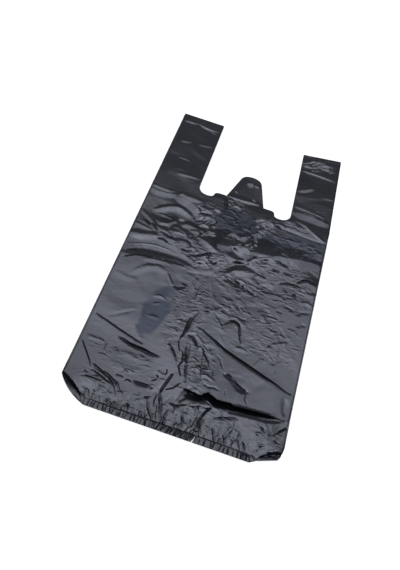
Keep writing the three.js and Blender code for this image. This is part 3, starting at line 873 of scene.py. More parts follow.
UPPER_FOLDS = (
    # the lens of film that slopes away on the left
    Fold(
        ((-146, -44), (-125, -33), (-108, -28), (-87, -26), (-65, -25), (-50, -27), (-32, -33)),
        -2.1, 24, 15,
    ),
    Fold(
        ((-141, -43), (-125, -36.4), (-108, -33), (-87, -30.4), (-65, -29.4), (-50, -31), (-36, -33)),
        -1.0, 0.8, 2.0,
    ),
    Fold(((-138, -54), (-121, -45), (-105, -41.6), (-93, -40)), -0.9, 0.9, 1.8),
    Fold(((-84, -38), (-70, -38.4), (-49, -37)), -1.0, 0.9, 2.0),
    Fold(((-140, -31), (-120, -23), (-100, -18.6), (-80, -19), (-66, -21.6)), 0.5, 1.6, 2.0),
    Fold(((-112, -48), (-95, -43), (-78, -41), (-62, -44)), 0.6, 2.5, 5),
    Fold(((-147, -12), (-126, -10), (-112, -6), (-98, -2)), 1.6, 10, 8),
    Fold(((-104, -7), (-94, -4), (-84, -8)), -0.9, 1.0, 2.6),
    # the arcs on the left
    Fold(((-147, 88), (-128, 86), (-112, 86), (-105, 90)), 0.8, 2.5, 5),
    Fold(((-147, 80), (-130, 77), (-118, 78), (-104, 81), (-97, 84)), 1.8, 3, 9),
    Fold(((-100, 84), (-92, 88), (-84, 85), (-70, 85), (-56, 84)), 1.7, 4, 7),
    Fold(((-102, 79), (-88, 78), (-76, 76), (-66, 70), (-54, 62)), 2.7, 2.2, 12),
    Fold(((-126, 40), (-112, 50), (-104, 55), (-92, 59), (-84, 58), (-76, 55), (-64, 49)), 2.2, 6, 8),
    Fold(((-114, 38), (-104, 37), (-90, 34)), 0.9, 2.5, 3.2),
    Fold(((-116, 26), (-106, 21), (-96, 23), (-90, 29), (-84, 40)), 1.7, 13, 4),
    Fold(((-84, 41), (-74, 41)), 1.1, 2, 5),
    Fold(((-78, 29), (-68, 34), (-60, 33), (-50, 30), (-38, 31)), 2.3, 8, 10),
    Fold(((-64, 24), (-50, 26), (-40, 22)), 1.0, 3, 13),
    Fold(((-68, 28), (-62, 20), (-61, 8)), -1.0, 1.5, 2.5),
    Fold(((-53, 13), (-47, 20), (-43, 29)), -0.9, 1.5, 2.2),
    Fold(((-90, 25), (-76, 21), (-66, 17), (-60, 10)), 1.6, 4.5, 8),
    Fold(((-86, 12), (-76, 14), (-66, 12)), 0.8, 2, 4),
    Fold(((-94, 10), (-92, 18), (-90, 21)), -0.6, 1.4, 1.6),
    Fold(
        ((-103, 7), (-94, 4), (-86, 2), (-78, 2), (-70, 4), (-60, 5), (-50, 1)),
        -1.3, 1.0, 3.2,
    ),
    Fold(((-133, 21), (-126, 16), (-118, 12)), -0.9, 1.0, 2.6),
    Fold(((-120, 18), (-112, 12), (-105, 6)), -0.8, 1.0, 2.4),
    Fold(((-140, 34), (-124, 24), (-112, 15)), 0.8, 3, 5),
    Fold(((-146, 10), (-128, 6), (-112, 4)), 0.7, 3, 5),
    # the fine creases beside the star
    Fold(((-58, 67), (-48, 71), (-38, 70)), 1.3, 1.8, 4),
    Fold(((-60, 60), (-50, 64), (-38, 65)), -1.1, 1.0, 2.8),
    Fold(((-57, 54), (-46, 59), (-37, 60)), 1.4, 2, 4),
    Fold(((-60, 46), (-52, 51), (-42, 53)), -1.0, 2.5, 3.5),
    Fold(((-54, 39), (-44, 44), (-35, 42)), 1.6, 3, 4.4),
    Fold(((-39, 80), (-27, 77)), 1.4, 2, 4),
    Fold(((-38, 58), (-33, 60), (-29, 54), (-29, 44)), 1.3, 2.5, 3.5),
    Fold(((-38, 46), (-32, 50), (-27, 50)), -0.9, 1, 2.2),
    Fold(((-44, 20), (-36, 33), (-30, 35), (-22, 34)), 1.9, 2.5, 7),
    Fold(((-31, 28), (-24, 31), (-22, 35)), 0.9, 1.5, 2.6),
    Fold(((-45, 19), (-30, 11), (-20, 6), (-13, 3)), 2.0, 9, 6),
    Fold(((-50, -16), (-40, -15), (-32, -10), (-26, -5), (-18, -1)), -1.7, 1.0, 3.8),
    Fold(((-42, -29), (-34, -20), (-24, -20), (-15, -27)), 1.1, 1.6, 3.2),
    Fold(((-38, -31), (-32, -25), (-25, -25)), 0.9, 1.3, 2.4),
    Fold(((-27, -8), (-18, -14), (-9, -9)), 1.1, 1.6, 3),
    Fold(((-20, -16), (-12, -18), (-6, -13)), -1.0, 1.2, 2.6),
    Fold(((-58, -8), (-50, -5), (-42, -7)), 1.0, 1.8, 3),
    Fold(((-62, -18), (-48, -20), (-38, -26)), 1.0, 1.6, 3),
    Fold(((-66, -11), (-56, -12), (-46, -10)), -1.0, 1.2, 2.8),
    # the smooth star below the tab
    Fold(((-28, 113), (-24, 100), (-20, 88)), -1.2, 1.6, 5),
    Fold(((-28, 113), (0, 113), (14, 115), (29, 116)), 1.4, 2, 3.6),
    Fold(((-14, 96), (-6, 98), (2, 95)), 0.9, 1.6, 3),
    Fold(((-6, 39), (0, 45), (6, 44), (14, 39)), 1.5, 2.5, 5.5),
    Fold(((-2, 42), (3, 35), (8, 30)), -0.9, 1.4, 2.2),
    Fold(((9, 39), (20, 45), (29, 54), (36, 60), (46, 58)), 2.4, 3, 11),
    Fold(((21, 34), (28, 43), (33, 55)), -0.9, 1.2, 2.4),
    Fold(((11, 25), (20, 28), (29, 31), (34, 38), (36, 50)), -1.6, 2.5, 3.6),
    Fold(((6, 20), (16, 24), (28, 24), (36, 19)), 1.9, 3, 9),
    Fold(((5, 19), (14, 11), (29, 6)), -1.9, 6, 9),
    Fold(((-4, 7), (8, 1), (18, -1), (31, 1)), 1.3, 6, 6),
    Fold(((34, 46), (41, 45)), 1.1, 1.6, 3),
    Fold(((34, 39), (42, 36)), 1.1, 1.6, 3),
    Fold(((29, 32), (37, 31)), 1.1, 1.6, 3),
    Fold(((27, 82), (34, 88), (47, 91)), 1.3, 2, 3.6),
    Fold(((37, 82), (48, 89), (60, 84)), 1.9, 2.5, 8.5),
    Fold(((30, 74), (38, 75)), 0.9, 2, 3.5),
    Fold(((36, 68), (42, 66), (50, 67)), 1.0, 2, 3.5),
    # the dark fold below it and its branches
    Fold(((-6, -28), (8, -17), (20, -6), (32, -2), (42, -4), (54, -10)), -2.4, 6, 8.5),
    Fold(((2, -38), (12, -27), (20, -18), (34, -14), (50, -11)), 1.3, 5, 8),
    Fold(((20, -33), (32, -36), (44, -42)), -1.61, 2.5, 12.65),
    Fold(((8, -32), (18, -36), (25, -38)), -0.95, 1.1, 4.71),
    Fold(((31, 1), (35, 9), (41, 14), (54, 19)), -1.27, 2.5, 2.99),
    Fold(((33, -2), (39, 8), (48, 15), (70, 23)), 0.82, 1.8, 5.29),
    Fold(((46, 8), (56, 13), (66, 17)), -0.85, 3, 6.9),
    Fold(((48, -18), (54, -11), (69, -12)), -0.88, 1.1, 4.71),
    Fold(((46, -19), (58, -17), (70, -19)), -0.77, 4, 8.05),
    Fold(((56, -28), (70, -26), (84, -29)), -0.85, 4, 10.35),
    Fold(((42, -40), (52, -44), (62, -46)), -0.68, 1.1, 3.68),
    Fold(((24, -28), (34, -30), (46, -34)), 0.68, 2.3, 4.48),
    # the bands on the right
    Fold(((58, 84), (78, 84), (100, 83), (122, 82), (147, 82)), -1.02, 4.5, 2.07),
    Fold(((60, 91), (84, 92), (104, 89)), 0.68, 2.3, 5.29),
    Fold(((58, 88), (66, 86), (72, 84)), -0.82, 1.4, 3.68),
    Fold(((72, 94), (80, 94), (88, 92)), -0.61, 1.4, 3.45),
    Fold(((92, 110), (105, 103), (117, 96), (128, 90), (140, 85)), 1.4, 6, 3.6),
    Fold(((70, 106), (92, 108), (112, 98)), 1.3, 4, 17),
    Fold(((76, 126), (100, 127), (122, 126), (147, 123)), 2.2, 6, 13),
    Fold(((-143, 16), (-60, 8), (0, 18), (70, 27), (143, 42)), 3.8, 30, 56),
    Fold(((48, 24), (68, 24), (76, 31), (92, 35), (116, 38), (146, 41)), 1.6, 9, 13),
    Fold(((40, 22), (70, 26), (143, 42)), 1.5, 20, 62),
    Fold(((82, 68), (93, 67), (105, 70)), 0.75, 2.9, 5.06),
    Fold(((108, 47), (117, 53), (128, 57), (145, 62)), 1.87, 3, 12.65),
    Fold(((60, 67), (68, 66)), 0.61, 2.3, 3.91),
    Fold(((73, 40), (82, 42), (91, 38)), 0.82, 2.3, 4.71),
    Fold(((78, 37), (84, 36), (91, 32)), -0.61, 1.1, 3.68),
    Fold(((70, 21), (84, 19), (100, 15)), -0.82, 1.4, 4.25),
    Fold(((70, 5), (86, 5)), -0.75, 1.1, 3.91),
    Fold(((86, 6), (100, 6), (113, 10)), -0.68, 1.1, 3.91),
    Fold(((111, -4), (120, 5), (127, 8), (135, 7), (147, 4)), -2.04, 1.2, 4.37),
    Fold(((85, -15), (96, -10), (108, -7), (118, -8), (123, -16)), -0.88, 1.1, 4.25),
    Fold(((108, -22), (118, -24)), -0.75, 1.4, 3.91),
    Fold(((126, -12), (134, -16), (144, -12)), 0.77, 3, 6.9),
    Fold(((70, -38), (90, -34), (104, -38)), 0.68, 3, 6.9),
    Fold(((98, -44), (116, -48), (134, -46)), -0.54, 1.6, 4.48),
    Fold(((120, -34), (134, -30), (145, -34)), 0.68, 2.4, 5.06),
)

HANDLE_FOLDS = (
    Fold(((-144, 243), (-124, 243), (-114, 246), (-100, 241), (-74, 240)), 0.9, 12, 2.6),
    Fold(((-112, 240), (-92, 236), (-76, 230)), -0.5, 3, 4),
    Fold(((-132, 195), (-112, 199)), 0.6, 3, 3.4),
    Fold(((-102, 199), (-76, 203)), 0.5, 3, 3),
    Fold(((-124, 160), (-100, 159)), 0.5, 3, 2.6),
    Fold(((-116, 125), (-92, 127), (-76, 127)), 0.7, 4, 3.4),
    Fold(((86, 244), (98, 248), (112, 249), (129, 247)), 1.6, 3, 12),
    Fold(((96, 231), (103, 226), (112, 232), (124, 236)), -0.9, 5, 2),
    Fold(((123, 233), (125, 240), (130, 246)), 1.0, 2, 3),
    Fold(((77, 230), (84, 233), (90, 233)), 0.8, 2, 3.4),
    Fold(((74, 219), (104, 219), (138, 217)), 0.8, 3, 2.6),
    Fold(((78, 171), (90, 177), (106, 188)), 1.0, 3, 5),
    Fold(((79, 140), (100, 138), (132, 134)), 1.0, 4, 5),
    Fold(((79, 127), (110, 128), (130, 130)), -0.9, 2, 2),
    Fold(((-3, 151.5), (3, 154), (9, 152)), 1.4, 1.6, 8),
    Fold(((10, 155), (13, 151.5), (18, 151)), 0.8, 1.4, 2.6),
    Fold(((-18, 129), (-12, 127)), 0.5, 1.6, 2.6),
    Fold(((13, 124), (20, 121)), 0.7, 1.4, 2.4),
)

CRINKLES = (
    Crinkle((-80, 40), (60, 50), -6, 8, 24, -6, 0.5),
    Crinkle((-50, 66), (18, 24), 0, 3.2, 10, -32, 0.6),
    Crinkle((-34, 50), (10, 26), 0, 3.0, 8, 70, 0.8),
    Crinkle((-66, 2), (42, 22), -4, 3.8, 13, -14, 0.9),
    Crinkle((-20, -20), (38, 30), 20, 3.6, 12, 20, 1.1),
    Crinkle((88, -14), (62, 46), 0, 4, 16, -10, 0.42),
    Crinkle((96, -6), (60, 34), 0, 9, 24, 4, 0.4),
    Crinkle((36, -38), (44, 24), 0, 3.8, 13, -24, 0.85),
    Crinkle((88, 94), (34, 12), -6, 3.8, 12, -12, 0.9),
    Crinkle((50, 78), (16, 16), 30, 3.6, 8, 20, 0.9),
    Crinkle((18, 34), (28, 20), 0, 3.6, 10, 52, 0.9),
    Crinkle((0, 68), (30, 36), 0, 6, 16, 76, 0.5),
    Crinkle((-12, 103), (18, 9), 0, 3.4, 7, -40, 1.2),
    Crinkle((100, 54), (44, 20), 0, 6, 14, 8, 0.5),
    Crinkle((-22, -92), (30, 52), 0, 3.6, 12, 76, 1.0),
    Crinkle((30, -84), (34, 30), 0, 3.8, 14, -40, 0.85),
    Crinkle((-34, -145), (14, 22), 0, 3.6, 10, 30, 0.8),
    Crinkle((12, -174), (34, 38), 0, 3.6, 15, -64, 0.4),
    Crinkle((86, -100), (58, 42), -10, 6, 24, -24, 0.6),
    Crinkle((-100, -96), (48, 60), 0, 18, 30, 40, 1.3),
    Crinkle((90, -182), (52, 20), 0, 10, 20, 0, 0.8),
    Crinkle((19, -208), (13, 5), 0, 3.0, 5, 60, 1.8),
    Crinkle((-80, -196), (50, 22), -6, 7, 26, -3, 0.4),
    Crinkle((-80, -240), (58, 16), -10, 5, 12, -30, 0.7),
    Crinkle((52, -238), (62, 21), 0, 4.2, 17, 80, 2.2),
    Crinkle((-70, -248), (48, 13), 0, 4.0, 14, 98, 1.8),
    Crinkle((0, -238), (20, 18), 0, 3.8, 12, 62, 1.9),
    Crinkle((122, -236), (24, 24), 0, 4.0, 12, 48, 1.7),
    Crinkle((-30, -212), (10, 22), 0, 4.0, 9, 70, 1.3),
    Crinkle((-16, -250), (16, 12), 0, 4.0, 8, 80, 1.2),
    Crinkle((104, 238), (32, 13), 8, 4.6, 9, 24, 1.6),
    Crinkle((-110, 190), (40, 80), 0, 16, 40, 4, 0.7),
    Crinkle((108, 180), (36, 80), 0, 14, 34, 6, 0.7),
    Crinkle((0, 0), (200, 330), 0, 34, 52, -8, 1.6),
    Crinkle((0, -70), (170, 210), 0, 4, 9, 10, 0.16),
)


class Tone(Enum):
    """Which painted shade makes a part of the film darker than its slope does: a bluish one or a plain
    dark one.
    """

    # painted shade that dims the reflection and tints it bluer
    PAINTED_BLUE_SHADE = "painted_blue_shade"
    # painted shade that dims the reflection alone
    PAINTED_DARK_SHADE = "painted_dark_shade"


@dataclass(frozen=True)
class Shade:
    """A part of the film with painted shade, whose reflection is dimmed there, as inside a fold or a
    pocket.
    """

    tone: Tone
    strength: float
    softness: int
    outline: tuple[Point, ...]


SHADES = (
    # painted shade: darker, bluer reflections on parts of the front panel
    Shade(
        Tone.PAINTED_BLUE_SHADE, 1.0, 2,
        ((-60, -75), (-54, -77), (-52, -92), (-62, -95), (-78, -96), (-75, -88), (-66, -80)),
    ),
    Shade(
        Tone.PAINTED_BLUE_SHADE, 1.0, 3,
        (
            (-80, -105), (-65, -100), (-50, -98), (-45, -110), (-50, -125), (-53, -138),
            (-60, -152), (-70, -158), (-78, -153), (-82, -146), (-80, -132), (-83, -118),
        ),
    ),
    Shade(
        Tone.PAINTED_BLUE_SHADE, 0.8, 3,
        (
            (-27, 104), (-20, 88), (0, 92), (24, 92), (30, 80), (34, 66), (42, 60), (30, 54),
            (22, 45), (12, 40), (0, 45), (-10, 36), (-12, 22), (-16, 6), (-30, 12), (-42, 18),
            (-24, 27), (-22, 34), (-27, 50), (-30, 60), (-26, 80),
        ),
    ),
    Shade(
        Tone.PAINTED_BLUE_SHADE, 0.6, 5,
        (
            (43, 58), (60, 64), (86, 80), (143, 80), (143, 40), (110, 38), (88, 32), (70, 24),
            (50, 24), (40, 40),
        ),
    ),
    Shade(Tone.PAINTED_BLUE_SHADE, 0.5, 2, ((-100, 62), (-88, 66), (-66, 56), (-84, 60))),
    Shade(
        Tone.PAINTED_BLUE_SHADE, 0.6, 3,
        ((-108, 40), (-98, 47), (-84, 48), (-88, 30), (-98, 24), (-110, 28)),
    ),
    Shade(Tone.PAINTED_BLUE_SHADE, 0.6, 2, ((-72, 40), (-60, 44), (-38, 38), (-42, 31), (-68, 34))),
    Shade(Tone.PAINTED_BLUE_SHADE, 0.5, 2, ((50, -176), (64, -180), (84, -187), (66, -191), (56, -187))),
    Shade(Tone.PAINTED_BLUE_SHADE, 0.4, 4, ((54, -65), (80, -64), (86, -74), (70, -72), (52, -70))),
    Shade(Tone.PAINTED_BLUE_SHADE, 0.5, 2, ((24, -34), (38, -38), (41, -45), (33, -48), (25, -44))),
    # painted shade: duller reflections at the lower left and along the bottom weld
    Shade(Tone.PAINTED_DARK_SHADE, 0.2, 8, ((-150, -164), (-40, -186), (-34, -226), (-150, -226))),
    Shade(
        Tone.PAINTED_DARK_SHADE, 0.25, 8,
        ((-150, -222), (0, -226), (60, -222), (150, -212), (150, -262), (-150, -262)),
    ),
    # painted shadow inside the deep fold near the bottom
    Shade(
        Tone.PAINTED_DARK_SHADE, 1.0, 1,
        (
            (4, -209), (12, -207.4), (15, -209.5), (22, -208.6), (25, -211), (29, -208.5),
            (32, -204.6), (35, -202.4), (39, -203.8), (44, -206.2), (50, -207.6), (58, -207),
            (66, -206.6), (72, -208.4), (82, -207.6), (96, -206.6), (110, -205.8), (122, -206.4),
            (126, -208.6), (121, -210.4), (110, -211.6), (98, -213), (84, -214.6), (72, -216.2),
            (60, -218.2), (50, -219.6), (45, -218), (39, -214.4), (33, -216), (28, -219),
            (21, -220.6), (12, -222.6), (7, -226.6), (2, -231), (3, -225), (9, -219.4),
            (6, -216.6), (10, -213.6),
        ),
    ),
    # painted shadow in the pockets of the two pushed-in corners
    Shade(
        Tone.PAINTED_DARK_SHADE, 1.0, 1,
        (
            (-146, -239), (-138, -242), (-131, -245), (-124, -248), (-118, -252.6),
            (-110, -255.6), (-105, -258.4), (-109, -259.6), (-117, -257.6), (-124, -254.6),
            (-131, -250.6), (-139, -247.4), (-147, -246),
        ),
    ),
    Shade(
        Tone.PAINTED_DARK_SHADE, 0.9, 1,
        (
            (-134, -254), (-128, -258), (-121, -260.4), (-113, -262.8), (-107, -264),
            (-109, -269), (-128, -269),
        ),
    ),
    Shade(
        Tone.PAINTED_DARK_SHADE, 1.0, 1,
        (
            (146, -245), (141, -248), (135, -250.6), (127, -252.6), (121, -254), (115, -258),
            (120, -260), (127, -257.6), (134, -255.6), (140, -252.6), (147, -250),
        ),
    ),
)


@dataclass(frozen=True)
class Pocket:
    """Where a pushed-in corner opens, which way the film runs up from there, and its stand."""

    place: Point
    run: Point
    width: float
    height: float
    lip: float = -1.0
    crest: float = 9.0
    fall: float = 64.0
    back_share: float = 0.8
    widening: float = 0.35

    def lift(self, x: np.ndarray, y: np.ndarray, front: bool) -> np.ndarray:
        """How far a pair of plies stands up here.

        Args:
            x: Places across the bag.
            y: Places along the bag.
            front: Whether it is the front pair, which stands over the pocket's mouth.

        Returns:
            The lift at each place, in mm.
        """
        away_x, away_y = x - self.place[0], y - self.place[1]
        inward = away_x * self.run[0] + away_y * self.run[1]
        aside = away_x * self.run[1] - away_y * self.run[0]
        if front:
            swell = smoothstep(0, self.crest, inward)
            swell = swell * (1 - smoothstep(self.crest, self.fall, inward))
        else:
            swell = self.back_share * (1 - smoothstep(self.lip, self.crest, inward))
        width = self.width + self.widening * np.maximum(inward, 0)
        return self.height * swell * np.exp(-((aside / width) ** 2))


@dataclass(frozen=True)
class Gathers:
    """How the heat of the bottom weld drew the film together, and how its hem puckered."""

    pitch: float = 6.4
    left_end: float = 38.0
    right_end: float = 36.0
    tight_middle: Point = (-14.0, 34.0)
    tight_right: float = 84.0
    short_left: float = -30.0
    short_reach: Point = (4.0, 13.0)
    long_reach: Point = (6.0, 26.0)
    rises: tuple[float, ...] = (-0.7, -0.5, 0.6, 0.9, 1.1)
    width: Point = (0.9, 1.5)
    slant: Point = (-0.7, 0.5)
    sag: Point = (-0.2, 0.2)
    ridge_foot: float = 2.4
    groove_foot: float = 0.6
    middle_tilt: Point = (-6.0, -2.0)
    tilt: Point = (-3.0, 3.0)
    tight_depth: float = 1.0
    loose_depth: float = 0.5
    depth: Point = (1.0, 1.9)
    between: Point = (0.4, 1.2)
    spread: Point = (0.4, 1.1)
    hem: float = 12.0
    roll: float = 9.0
    roll_rise: float = 1.1

    def folds(self, pattern: Pattern, random: np.random.Generator) -> list[Fold]:
        """The gathers above the weld and the puckers below it.

        Args:
            pattern: The bag's sizes.
            random: The source of their places and sizes.

        Returns:
            All of them, as short creases, and the roll of the hem's edge.
        """
        weld, bottom, middle = pattern.weld_y, -pattern.half_length, self.tight_middle
        edge = ((-150, bottom), (0, bottom - 0.4), (150, bottom))
        folds = [Fold(edge, self.roll_rise, self.roll, self.roll)]
        x = self.left_end - pattern.half_width
        while x < pattern.half_width - self.right_end:
            in_middle = middle[0] < x < middle[1]
            tight = in_middle or x > self.tight_right
            wide = random.uniform(*self.width)
            reach = random.uniform(*(self.short_reach if x < self.short_left else self.long_reach))
            top = x + reach * random.uniform(*self.slant)
            bend = (x + top) / 2 + reach * random.uniform(*self.sag)
            line = ((x, weld - 1), (bend, weld + reach / 2), (top, weld + reach))
            rise = random.choice(self.rises)
            near = wide + (self.ridge_foot if rise > 0 else self.groove_foot)
            folds.append(Fold(line, rise, wide + 0.4, near))
            tilt = random.uniform(*(self.middle_tilt if in_middle else self.tilt))
            line = ((x + 1, weld + 1), (x + 1 + tilt, weld - self.hem))
            depth = self.tight_depth if tight else self.loose_depth
            folds.append(Fold(line, -depth * random.uniform(*self.depth), wide, wide + 0.3))
            if tight:
                line = ((x + 4, weld), (x + 4 + tilt, weld - self.hem))
                folds.append(Fold(line, random.uniform(*self.between), 1.4, 3.0))
            x += self.pitch * random.uniform(*self.spread)
        return folds


@dataclass(frozen=True)
class Stack:
    """How the plies lie on each other.

    Each lies a pinched gap over the one below, and a loose gap more away from the welds, over
    the distances of "pinch". The front ply is less pinched than the others.
    """

    floor_gap: float = 0.12
    pinched_gap: float = 0.12
    loose_gap: float = 0.22
    pinch: Point = (0.2, 2.5)
    front_spread: float = 3.0

    def level(self, pattern: Pattern, x: np.ndarray, y: np.ndarray, ply: Ply) -> np.ndarray:
        """The level at which a ply lies, pinched at the welds.

        Args:
            pattern: The bag's sizes.
            x: Places across the bag.
            y: Places along the bag.
            ply: Which ply.

        Returns:
            The heights in mm.
        """
        low = np.abs(y - pattern.weld_y)
        top = np.abs(pattern.handle_top(x) - pattern.top_weld - y)
        if ply is Ply.FRONT:
            low = low + self.front_spread
        loose = smoothstep(*self.pinch, np.minimum(low, top))
        return self.floor_gap + ply.value * (self.pinched_gap + self.loose_gap * loose)


@dataclass
class Front:
    """The creased front panel: its height map, and where its film lies."""

    pattern: Pattern
    stack: Stack = Stack()
    gathers: Gathers = Gathers()
    pockets: tuple[Pocket, ...] = (
        Pocket((-129, -255), (0.55, 0.83), 22.0, 3.0),
        Pocket((133, -258), (-0.38, 0.92), 20.0, 2.6),
    )
    grid_margin: float = 16.0
    grid_pitch: float = 0.5
    body_level: float = 2.4
    calm_drop: float = 0.7
    calm_right: Point = (88.0, 132.0)
    calm_tab: Point = (100.0, 124.0)
    tab_reach: float = 60.0
    edge_fade: float = 4.0
    weld_share: Point = (0.42, 0.58)
    weld_fade: Point = (-2.0, 64.0)
    top_fades: Point = (16.5, 6.0)
    pocket_fade: float = 28.0
    weld_reach: float = 106.0
    under_gap: float = 0.16
    fine_spacing: float = 1.12
    coarse_spacing: float = 2.4
    line_spacing: float = 1.2
    foot_reach: float = 4.0
    smooth_share: float = 0.38
    crease_reach: float = 3.0
    crease_bend: float = 0.04
    bend_cells: int = 5
    edge_clear: float = 1.0
    shade_step: float = 1.0
    crisp_shade: float = 0.85
    heights: HeightMap = field(init=False)
    share: np.ndarray = field(init=False)
    puckers: tuple[Fold, ...] = field(init=False)

    def __post_init__(self) -> None:
        """Works out the height map, and the puckers of the bottom weld."""
        pattern, margin = self.pattern, self.grid_margin
        reach = (pattern.half_width + margin, pattern.half_length + margin)
        raster = Raster(reach, self.grid_pitch)
        self.heights = HeightMap(raster, SEED)
        for crinkle in CRINKLES:
            self.heights.add_crinkle(crinkle)
        for shade in SHADES:
            self.heights.add_shade(shade)
        for fold in self.folds():
            if not fold.sharp:
                self.heights.add_fold(fold)
        self.heights.rise = raster.blurred(self.heights.rise, 1, 1)
        right = smoothstep(*self.calm_right, raster.y) * (raster.x > 0)
        tab = smoothstep(*self.calm_tab, raster.y) * (np.abs(raster.x) < self.tab_reach)
        self.heights.rise += self.body_level * (1 - self.calm_drop * np.maximum(right, tab))
        self.fade_edges()
        self.puckers = (self.weld(), *self.gathers.folds(pattern, self.heights.random))

    def weld(self) -> Fold:
        """The bottom weld, as a thin groove."""
        y = self.pattern.weld_y
        return Fold(((-118, y), (-40, y - 0.4), (30, y + 0.4), (118, y)), -0.7, 0.9, 0.9)

    def folds(self) -> tuple[Fold, ...]:
        """The creases that are placed one by one."""
        return LOWER_FOLDS + MIDDLE_FOLDS + UPPER_FOLDS + HANDLE_FOLDS

    def fade_edges(self) -> None:
        """Brings the rise down along the folded edges, the bottom weld and the handles' tops."""
        raster, pattern = self.heights.raster, self.pattern
        edges = [np.array(pattern.side_edge(side, True)) for side in (-1, 1)]
        gap = np.minimum(*(distance_to(edge, raster.x, raster.y, False) for edge in edges))
        folded = np.sqrt(1 - (1 - np.clip(gap / self.edge_fade, 0, 1)) ** 2)
        above = raster.y - pattern.weld_y
        low = self.weld_share[0] + self.weld_share[1] * smoothstep(*self.weld_fade, above)
        below_top = pattern.handle_top(raster.x) - pattern.top_weld - raster.y
        top = np.clip(below_top / np.where(raster.x < 0, *self.top_fades), 0, 1)
        self.share = folded * low * top
        self.heights.rise *= self.share

    def corner_lift(self, x: np.ndarray, y: np.ndarray, front: bool) -> np.ndarray:
        """How far a pair of plies stands up at the two pushed-in corners.

        Args:
            x: Places across the bag.
            y: Places along the bag.
            front: Whether it is the front pair, which stands over the mouth of each pocket.

        Returns:
            The lift at each place, in mm.
        """
        lift = sum(pocket.lift(x, y, front) for pocket in self.pockets)
        past_weld = np.maximum(np.abs(x) - self.weld_reach, 0)
        weld_gap = np.hypot(past_weld, y - self.pattern.weld_y)
        return lift * smoothstep(0, self.pocket_fade, weld_gap)

    def place(self, x: np.ndarray, y: np.ndarray) -> tuple[np.ndarray, np.ndarray, np.ndarray]:
        """Where the film of the front panel lies.

        Args:
            x: Places on the flat panel, across the bag.
            y: Places on the flat panel, along the bag.

        Returns:
            The x, y and z of each place, in mm.
        """
        raster = self.heights.raster
        rise = raster.sample(self.heights.rise, x, y)
        share = raster.sample(self.share, x, y)
        out_x, out_y = x.copy(), y.copy()
        creases = [(fold, share) for fold in self.folds() if fold.sharp]
        for fold, kept in creases + [(fold, np.ones(x.shape)) for fold in self.puckers]:
            reach = max(fold.far, fold.near)
            low, high = np.min(fold.line, axis=0) - reach, np.max(fold.line, axis=0) + reach
            by = (x > low[0]) & (x < high[0]) & (y > low[1]) & (y < high[1])
            profile = fold_profile(fold, x[by], y[by]) * kept[by]
            rise[by] += fold.rise * profile
            if fold.lean:
                out_x[by] += fold.leaning[0] * profile
                out_y[by] += fold.leaning[1] * profile
        z = self.stack.level(self.pattern, x, y, Ply.FRONT) + np.maximum(rise, 0.0)
        return out_x, out_y, z + self.corner_lift(x, y, True)

    def place_inside(self, x: np.ndarray, y: np.ndarray) -> tuple[np.ndarray, np.ndarray, np.ndarray]:
        """Where the hidden under side of the panel lies: level, below the deepest creases.

        Args:
            x: Places on the flat panel, across the bag.
            y: Places on the flat panel, along the bag.

        Returns:
            The x, y and z of each place, in mm.
        """
        z = self.stack.level(self.pattern, x, y, Ply.FRONT) - self.under_gap
        return x, y, z + self.corner_lift(x, y, True)

    def masks(self, x: np.ndarray, y: np.ndarray) -> dict[str, np.ndarray]:
        """The masks that the film's material reads, painted shade among them.

        Args:
            x: Places on the flat panel, across the bag.
            y: Places on the flat panel, along the bag.

        Returns:
            From 0 to 1 by name, how finely creased the film is, and its painted shades.
        """
        raster, heights = self.heights.raster, self.heights
        maps = {"creased": heights.creased, **heights.shades}
        return {name: np.clip(raster.sample(values, x, y), 0, 1) for name, values in maps.items()}

    def mesh_points(self, random: np.random.Generator) -> np.ndarray:
        """Points for the panel's mesh: close together where it is creased, wide apart elsewhere.

        Args:
            random: The source of the jitter.

        Returns:
            Rows of x and y.
        """
        raster, rise = self.heights.raster, self.heights.rise
        loop = np.array(self.pattern.panel(True))
        bend = np.abs(4 * rise - sum(np.roll(rise, s, axis=a) for s in (-1, 1) for a in (0, 1)))
        folds = self.folds() + self.puckers
        for fold in folds:
            if fold.sharp:
                part = raster.window(np.array(fold.line), self.crease_reach)
                bend[part] += self.crease_bend
        bend = raster.blurred(bend, self.bend_cells)
        lines = [self.line_points(fold) for fold in folds if fold.narrow]
        # extra mesh points along the outlines of the strongest painted shades, so that their edges stay
        # crisp
        for shade in SHADES:
            if shade.strength > self.crisp_shade:
                lines.append(divided([*shade.outline], self.shade_step))
        kept = np.vstack(lines)
        kept = kept[inside(loop, *kept.T) & (distance_to(loop, *kept.T) > self.edge_clear)]
        fine = film_points(loop, self.fine_spacing, random)
        limit = np.quantile(raster.sample(bend, *fine.T), self.smooth_share)
        fine = fine[raster.sample(bend, *fine.T) > limit]
        coarse = film_points(loop, self.coarse_spacing, random)
        coarse = coarse[raster.sample(bend, *coarse.T) <= limit]
        taken = np.zeros(raster.x.shape)
        rows = ((kept[:, 1] + raster.reach[1]) / raster.pitch).round().astype(int)
        columns = ((kept[:, 0] + raster.reach[0]) / raster.pitch).round().astype(int)
        taken[rows, columns] = 1.0
        near = raster.blurred(taken, 1, 1) > TINY
        spare = np.vstack([fine, coarse])
        return np.vstack([kept, spare[raster.sample(near.astype(float), *spare.T) < 0.5]])

    def line_points(self, fold: Fold) -> np.ndarray:
        """Mesh points along a crease and along both of its feet.

        Args:
            fold: The crease.

        Returns:
            Rows of x and y.
        """
        crest = np.array(fold.line)
        lengths = np.hypot(*np.diff(crest, axis=0).T)
        before = np.concatenate([[0.0], np.cumsum(lengths)])
        rows = []
        step, foot = self.line_spacing, self.foot_reach
        for i, length in enumerate(lengths):
            run = (crest[i + 1] - crest[i]) / length
            left = np.array([-run[1], run[0]])
            for k in range(max(1, round(length / step))):
                share = (before[i] + step * k) / before[-1]
                width = 1 - fold.end_loss * abs(2 * share - 1) ** 3
                for offset in (-min(fold.near * width, foot), 0.0, min(fold.far * width, foot)):
                    rows.append(crest[i] + run * step * k + left * offset)
        return np.array(rows)


# Meshes

